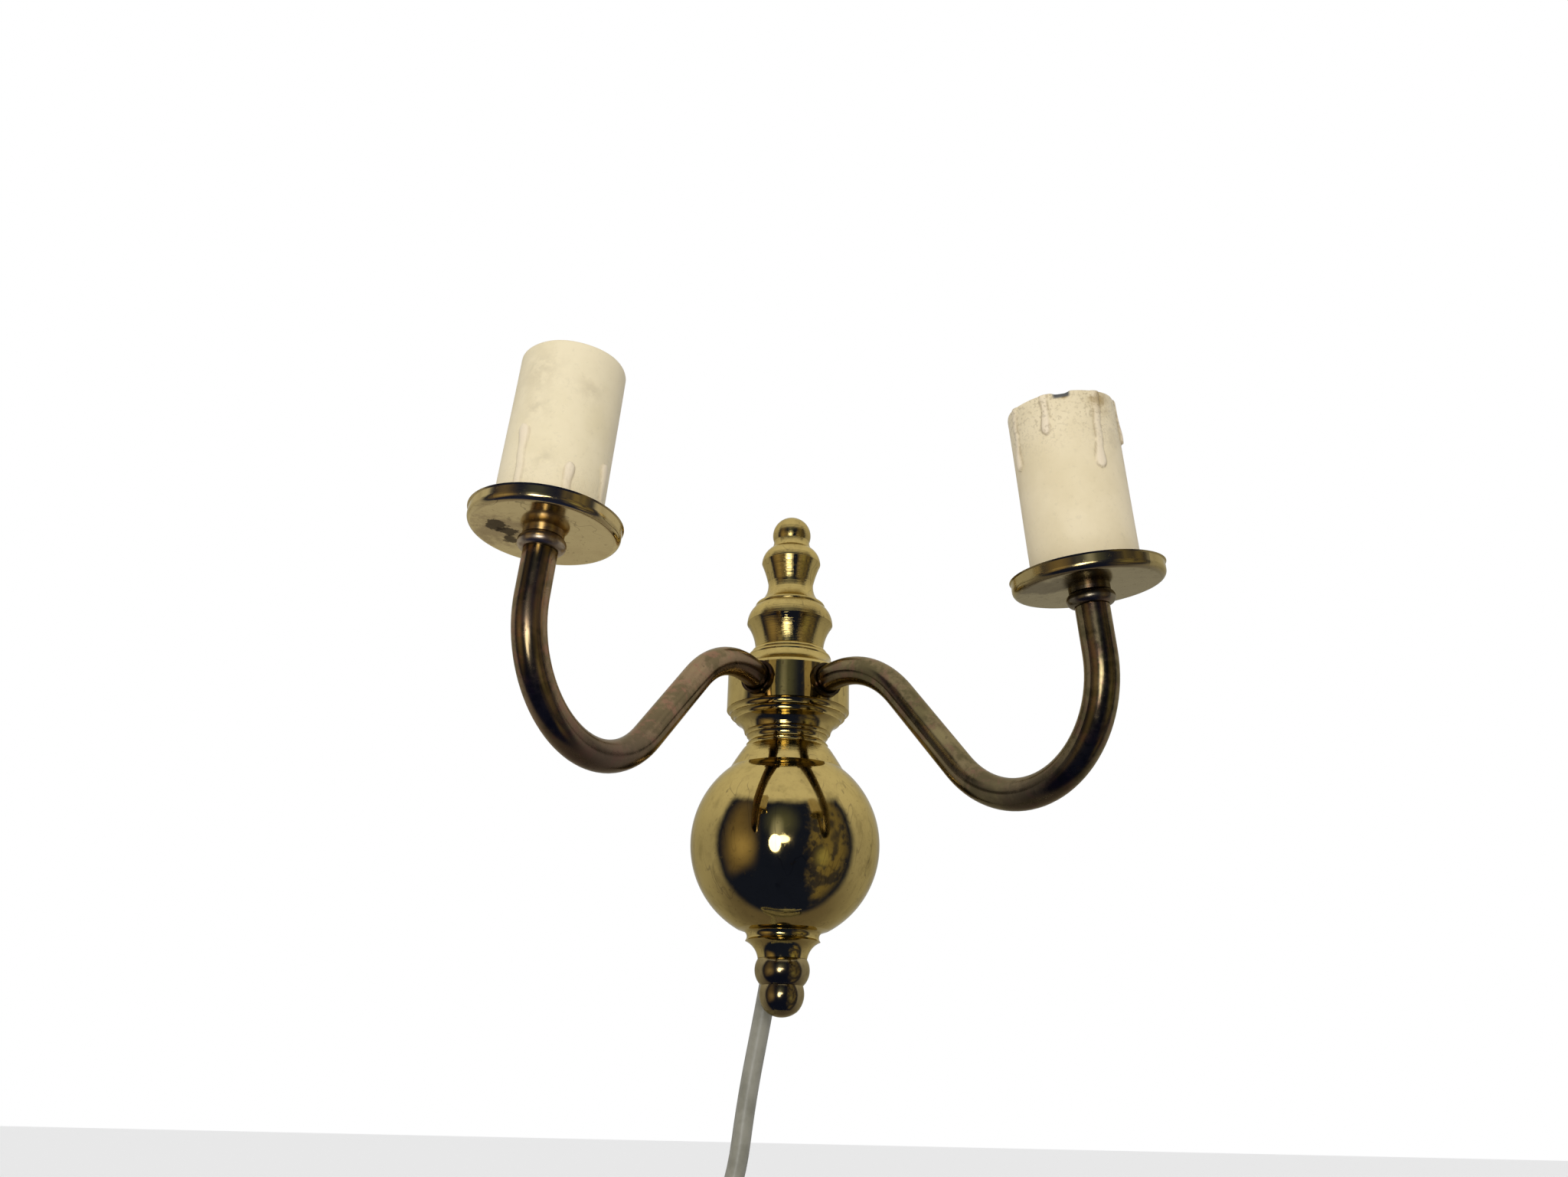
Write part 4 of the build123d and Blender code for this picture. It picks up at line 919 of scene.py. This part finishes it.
def sleeve_outline():
    """The tube's section: a radius, a height and a zone for each ring."""
    # the small numbers round the edges of the foot and the rim by tenths of a millimetre
    outline = [(sleeve_inner, share * sleeve_length, bore) for share in (0.98, 0.6, 0.2, 0.0)]
    outline += [(sleeve_inner + 0.25, 0.0, bore), (sleeve_radius - 0.3, 0.0, bore)]
    outline += [(sleeve_radius, (step + 0.4) / along * (sleeve_length - 0.5), wall) for step in range(along)]
    outline += [(sleeve_radius - 0.12, sleeve_length - 0.2, wall), (sleeve_radius - 0.4, sleeve_length, rim),
                (sleeve_inner + 0.35, sleeve_length, rim), (sleeve_inner + 0.08, sleeve_length - 0.2, rim)]
    return outline


def rim_sag(angle, height):
    """How far the uneven rim sinks at an angle."""
    ripple = 0.16 * sin(radians(2 * angle + 40)) + 0.1 * sin(radians(5 * angle))
    notch = notch_depth * exp(-((angle - notch_angle) / notch_width)**4)
    return (mean_sag + ripple * 0.7 + notch) * exp(-((sleeve_length - height) / sag_depth)**2)


print("rings", len(sleeve_outline()), "notch", round(rim_sag(notch_angle, sleeve_length), 2), "mm deep")

# %% [markdown]
# ## Marks on a sleeve
# Five values go with each point of a sleeve: how near it is to a drip's
# edge, which sets the painted shade beside it, how scorched, which past 1
# is the painted shade of the slit, how waxy, how crackled and how smudged.
# They could be painted by hand in Blender, but worked out from an angle and
# a depth they are the same in every run. A round mark fades out from its
# middle, and the crackle keeps to the dripping end, close beside its drips.

# %% Marks on the sleeves
crackle_depth = 13
crackle_spread = 26      # degrees to either side of a drip
wax_gain = 1.6           # how much wax shows for each millimetre of relief


def mark_share(angle, depth, mark_angle, mark_depth, size):
    """How much of a round mark lies here: 1 at its middle and fading with its size in mm."""
    sideways = radians(angle_from(mark_angle, angle)) * sleeve_radius
    return exp(-(sideways**2 + (depth - mark_depth)**2) / size**2)


def crackled(angle, depth, drips):
    """How much of the crackle lies here."""
    beside = min(abs(angle_from((first + last) / 2, angle)) for first, last, *_ in drips)
    return exp(-(depth / crackle_depth)**4 - (beside / crackle_spread)**2)


print("a mark of 2 mm is worth", round(mark_share(5, 0, 0, 0, 2.0), 2), "at 5 degrees from its middle")

# %% [markdown]
# ## The mesh of a sleeve
# Each ring's points are moved outwards by the drips and downwards by the
# sagging rim, and get their marks at the same place, so that a stain can't
# slip off its drip. Neighbouring rings are then joined with four sided
# faces, and the last ring meets the first, which closes the tube.

# %% Sleeve mesh
moulding_gap = 0.12      # the plain wall lies this far inside the sleeve's radius
waviness = 0.05


def joined_rings(mesh, rings):
    """Faces between neighbouring rings, and from the last ring to the first."""
    for ring, above in zip(rings, rings[1:] + rings[:1]):
        for step in range(around):
            after = (step + 1) % around
            mesh.faces.new((ring[step], ring[after], above[after], above[step]))
    bmesh.ops.recalc_face_normals(mesh, faces=mesh.faces)


def sleeve_mesh(name, side, drips, upside_down, scorched, smudges):
    """The sleeve as mesh data, with its marks."""
    foot, heading, normal, rising = ends[side]
    low = foot + rising * sleeve_foot * MM
    mesh = bmesh.new()
    layers = {mark: mesh.verts.layers.float.new(mark) for mark in sleeve_marks}
    rings = []
    for radius, height, zone in sleeve_outline():
        depth = height if upside_down else sleeve_length - height
        ring = []
        for step in range(around):
            angle = 360 * step / around
            reach = radius
            relief = edge = crackle = sunk = 0.0
            if zone != bore:
                reach = radius - moulding_gap
                sunk = rim_sag(angle, height)
            if zone == wall:
                relief, edge = drip_height(angle, depth, drips)
                reach += relief + waviness * sin(radians(3 * angle)) * sin(height * 0.13)
                crackle = crackled(angle, depth, drips)
            point = low + (heading * cos(radians(angle)) + normal * sin(radians(angle))) * reach * MM
            vert = mesh.verts.new(point + rising * (height - sunk) * MM)
            vert[layers["drip_edge"]] = edge
            vert[layers["scorch_and_slit_shade"]] = scorched(angle, depth)
            vert[layers["wax"]] = min(1.0, wax_gain * relief)
            vert[layers["crackle"]] = crackle
            vert[layers["smudge"]] = sum(mark_share(angle, depth, *smudge) for smudge in smudges)
            ring.append(vert)
        rings.append(ring)
    joined_rings(mesh, rings)
    data = bpy.data.meshes.new(name)
    mesh.to_mesh(data)
    mesh.free()
    return data


print("points in a sleeve", around * len(sleeve_outline()))

# %% [markdown]
# ## The candle sleeves
# Both sleeves are lifted off their lampholders by hand, so each rides on its
# own body. It replaces the plain solid sleeve and stands exactly where that
# one does. The left sleeve was put on upside down, so its drips rise from
# the pan. Only the right one has the heat spot and the slit of painted
# shade, in its rim.

# %% Both sleeves
# each drip: angle where it starts, angle at its tip, length and width
left_drips = [(-7, -1, 22.6, 3.0), (-58, -56, 13.0, 2.6), (-109, -101, 17.3, 3.0), (60, 62, 12.0, 2.8),
              (128, 126, 19.0, 3.0), (192, 195, 10.5, 2.6)]
right_drips = [(108, 113, 16.6, 2.6), (67, 69, 10.7, 2.3), (10, 18, 21.0, 2.9), (-37, -35, 12.2, 3.2),
               (165, 163, 14.0, 2.8), (222, 226, 19.5, 3.0), (285, 284, 11.0, 2.6)]
# each smudge, and the heat spot: angle, depth and size
left_smudges = [(-6, 37.7, 6.0), (-64, 34.2, 3.5), (-11, 26.5, 3.5), (-29, 13.0, 2.5), (150, 22.0, 6.0)]
right_smudges = [(4, 12.0, 5.0), (200, 30.0, 6.0)]
heat_spot = (6.0, 2.5, 3.2)
# the slit: a painted shade where the inside shows through the rim's notch
slit_angle = 48.3
slit_width = 10.5        # degrees to either side
slit_depth = 2.3
slit_mark = 2.2


def unscorched(angle, depth):
    return 0.0


def scorched_rim_and_shaded_slit(angle, depth):
    """A brown spot at the rim, and a value past 1 in the slit, which is a painted shade."""
    slit = slit_mark * exp(-((angle - slit_angle) / slit_width)**6 - (depth / slit_depth)**8)
    return mark_share(angle, depth, *heat_spot) + slit


def candle_sleeve(name, side, drips, upside_down, scorched, smudges):
    data = sleeve_mesh(name, side, drips, upside_down, scorched, smudges)
    for polygon in data.polygons:
        polygon.use_smooth = True
    piece = bpy.data.objects.new(name, data)
    bpy.context.scene.collection.objects.link(piece)
    wear(piece, ivories[side])
    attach(piece, f"{side}_sleeve")
    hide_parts(f"{side}_candle_sleeve")
    print(name, "faces", len(data.polygons))


candle_sleeve("left_wax_sleeve", "left", left_drips, True, unscorched, left_smudges)
candle_sleeve("right_wax_sleeve", "right", right_drips, False, scorched_rim_and_shaded_slit, right_smudges)

# %% [markdown]
# ## The floor
# A plain pale floor well below the sconce takes the soft light and shows
# that it hangs free. More light would whiten it but wash out the brass, so a
# faint glow that only the camera sees lifts its tone. Reflections don't show
# the floor: they get the surroundings of the next cell.

# %% Floor
floor_drop = 0.12        # below the lowest point of the model
floor_reach = 6.0
floor_z = cad_low.z - floor_drop
corners = [(-floor_reach, -floor_reach, floor_z), (floor_reach, -floor_reach, floor_z),
           (floor_reach, floor_reach, floor_z), (-floor_reach, floor_reach, floor_z)]
floor_mesh = bpy.data.meshes.new("floor")
floor_mesh.from_pydata(corners, [], [(0, 1, 2, 3)])
floor = bpy.data.objects.new("floor", floor_mesh)
bpy.context.scene.collection.objects.link(floor)

paper = new_finish("floor_paper")
glow = paper.mixed(paper.ray_is("Camera"), (0.0, 0.0, 0.0), (0.36, 0.36, 0.355))
wear(floor, paper.surface(Base_Color=(0.86, 0.86, 0.85), Roughness=0.9, Emission_Color=glow,
                          Emission_Strength=1.0))
floor.visible_glossy = False
print("floor at", round(floor_z, 3), "m")

# %% [markdown]
# ## Surroundings, seen in the brass
# Polished brass looks like what surrounds it. In a plain white studio it
# would look like chalk, so its reflections see a simple room: a pale wall
# behind the sconce, a paler ceiling, and a dark side towards the viewer with
# uneven warm areas to the left and right. A picture of a room could do it,
# but soft masks on the ray's direction need no image and are easy to move.

# %% Masks over the directions
viewer_way = (-0.06, -0.98, -0.18)
world = bpy.data.worlds.new("world")
bpy.context.scene.world = world
room = Finish(world)
direction = room.add("ShaderNodeTexCoord", output="Generated")
across_way, depth_way, height_way = room.parts(direction)
uneven = room.noise(direction, scale=4.0, detail=4.0, roughness=0.65) - 0.5
level_part = across_way * viewer_way[0] + depth_way * viewer_way[1]
towards = level_part + height_way * viewer_way[2] + uneven * 0.10

wall_side = 1 - towards.between(-0.10, 0.10)
ceiling = (height_way + uneven * 0.12).between(0.60, 0.72)
far_left = (across_way * -1).between(0.50, 0.85) * towards.between(0.05, 0.45)
left_side = far_left * height_way.between(-0.62, -0.42)
far_right = (across_way + uneven * 0.5).between(0.35, 0.55) * towards.between(0.05, 0.35)
cluttered = room.noise(direction, scale=4.5, detail=3.0, roughness=0.6).between(0.44, 0.54)
right_side = far_right * (cluttered * 0.8 + 0.2)
window = room.near(room.stretched(direction, (1.0, 1.0, 0.38)), (-0.22, -0.96, 0.008), 0.19)
print("the viewer is towards", viewer_way)

# %% [markdown]
# ## Colours of the surroundings
# The masks are painted over a night blue, warm areas first. Three spots
# stand for places that catch some light. The lit wall and ceiling cover
# them, and a cool window comes last, as the clearest shape that the ball
# mirrors. Diffuse light doesn't use this room but one plain grey, darker to
# the right, and the camera sees pure white.

# %% World
night_blue = (0.011, 0.017, 0.066)
left_spot = room.near(direction, (-0.82, -0.55, -0.16), 0.40) * 0.9
right_spot = room.near(direction, (0.68, -0.66, -0.33), 0.26) * 0.9
upper_spot = room.near(direction, (-0.14, -0.95, 0.27), 0.46)
shadowed = room.noise(direction, scale=2.6, detail=5.0, roughness=0.7).between(0.50, 0.66)

lit = room.layered((0.17, 0.15, 0.14), (height_way.between(-0.95, -0.10), (0.49, 0.49, 0.49)),
                   (height_way.between(0.0, 0.85), (0.84, 0.84, 0.82)),
                   (shadowed * 0.35, (0.17, 0.16, 0.15)))
mirrored_room = room.layered(night_blue, (left_side, (0.21, 0.165, 0.11)), (left_spot, (0.50, 0.40, 0.24)),
                             (right_side, (0.23, 0.195, 0.11)), (right_spot, (0.42, 0.40, 0.20)),
                             (upper_spot, (0.13, 0.15, 0.145)), (wall_side.larger(ceiling), lit),
                             (window, (0.58, 0.63, 0.72)))
soft_light = room.mixed(across_way.between(0.0, 1.0), (0.54, 0.54, 0.55), (0.38, 0.38, 0.41))
colour = room.layered(soft_light, (room.ray_is("Glossy"), mirrored_room),
                      (room.ray_is("Camera"), (1.0, 1.0, 1.0)))
background = room.add("ShaderNodeBackground", {}, {"Color": colour, "Strength": 1.0})
room.add("ShaderNodeOutputWorld", {}, {"Surface": background})
print("nodes in the world", len(room.tree.nodes))

# %% [markdown]
# ## Lamps
# The world lights everything evenly, which alone would look flat. A wide
# lamp above the viewer models the pale sleeves. It isn't mirrored, so that
# it leaves no disc on the ball. Two small lamps near the camera are
# mirrored, and give the sharp glint on the ball and the streaks on the arms.
# Each lamp is an ellipse, because a square one would show its corners.

# %% Lamps
sconce_middle = (0.0, -0.05, 0.03)


def soft_lamp(name, place, width, height, power, mirrored=True):
    """An elliptical area lamp, aimed at the middle of the sconce."""
    data = bpy.data.lights.new(name, "AREA")
    data.shape = "ELLIPSE"
    data.size = width
    data.size_y = height
    data.energy = power
    lamp = bpy.data.objects.new(name, data)
    lamp.location = place
    lamp.rotation_mode = "QUATERNION"
    lamp.rotation_quaternion = (Vector(sconce_middle) - Vector(place)).to_track_quat("-Z", "Y")
    lamp.visible_camera = False
    lamp.visible_glossy = mirrored
    bpy.context.scene.collection.objects.link(lamp)
    print("lamp", name, power, "W")


soft_lamp("front", (-0.16, -0.60, -0.11), width=0.15, height=0.22, power=0.58)
soft_lamp("front_side", (-0.06, -0.60, -0.06), width=0.16, height=0.09, power=0.20)
soft_lamp("above", (0.0, -0.75, 0.40), width=0.4, height=0.4, power=1.12, mirrored=False)

# %% [markdown]
# ## View transform
# The standard view transform shows colours about as they are written.

# %% View transform
bpy.context.scene.view_settings.view_transform = "Standard"
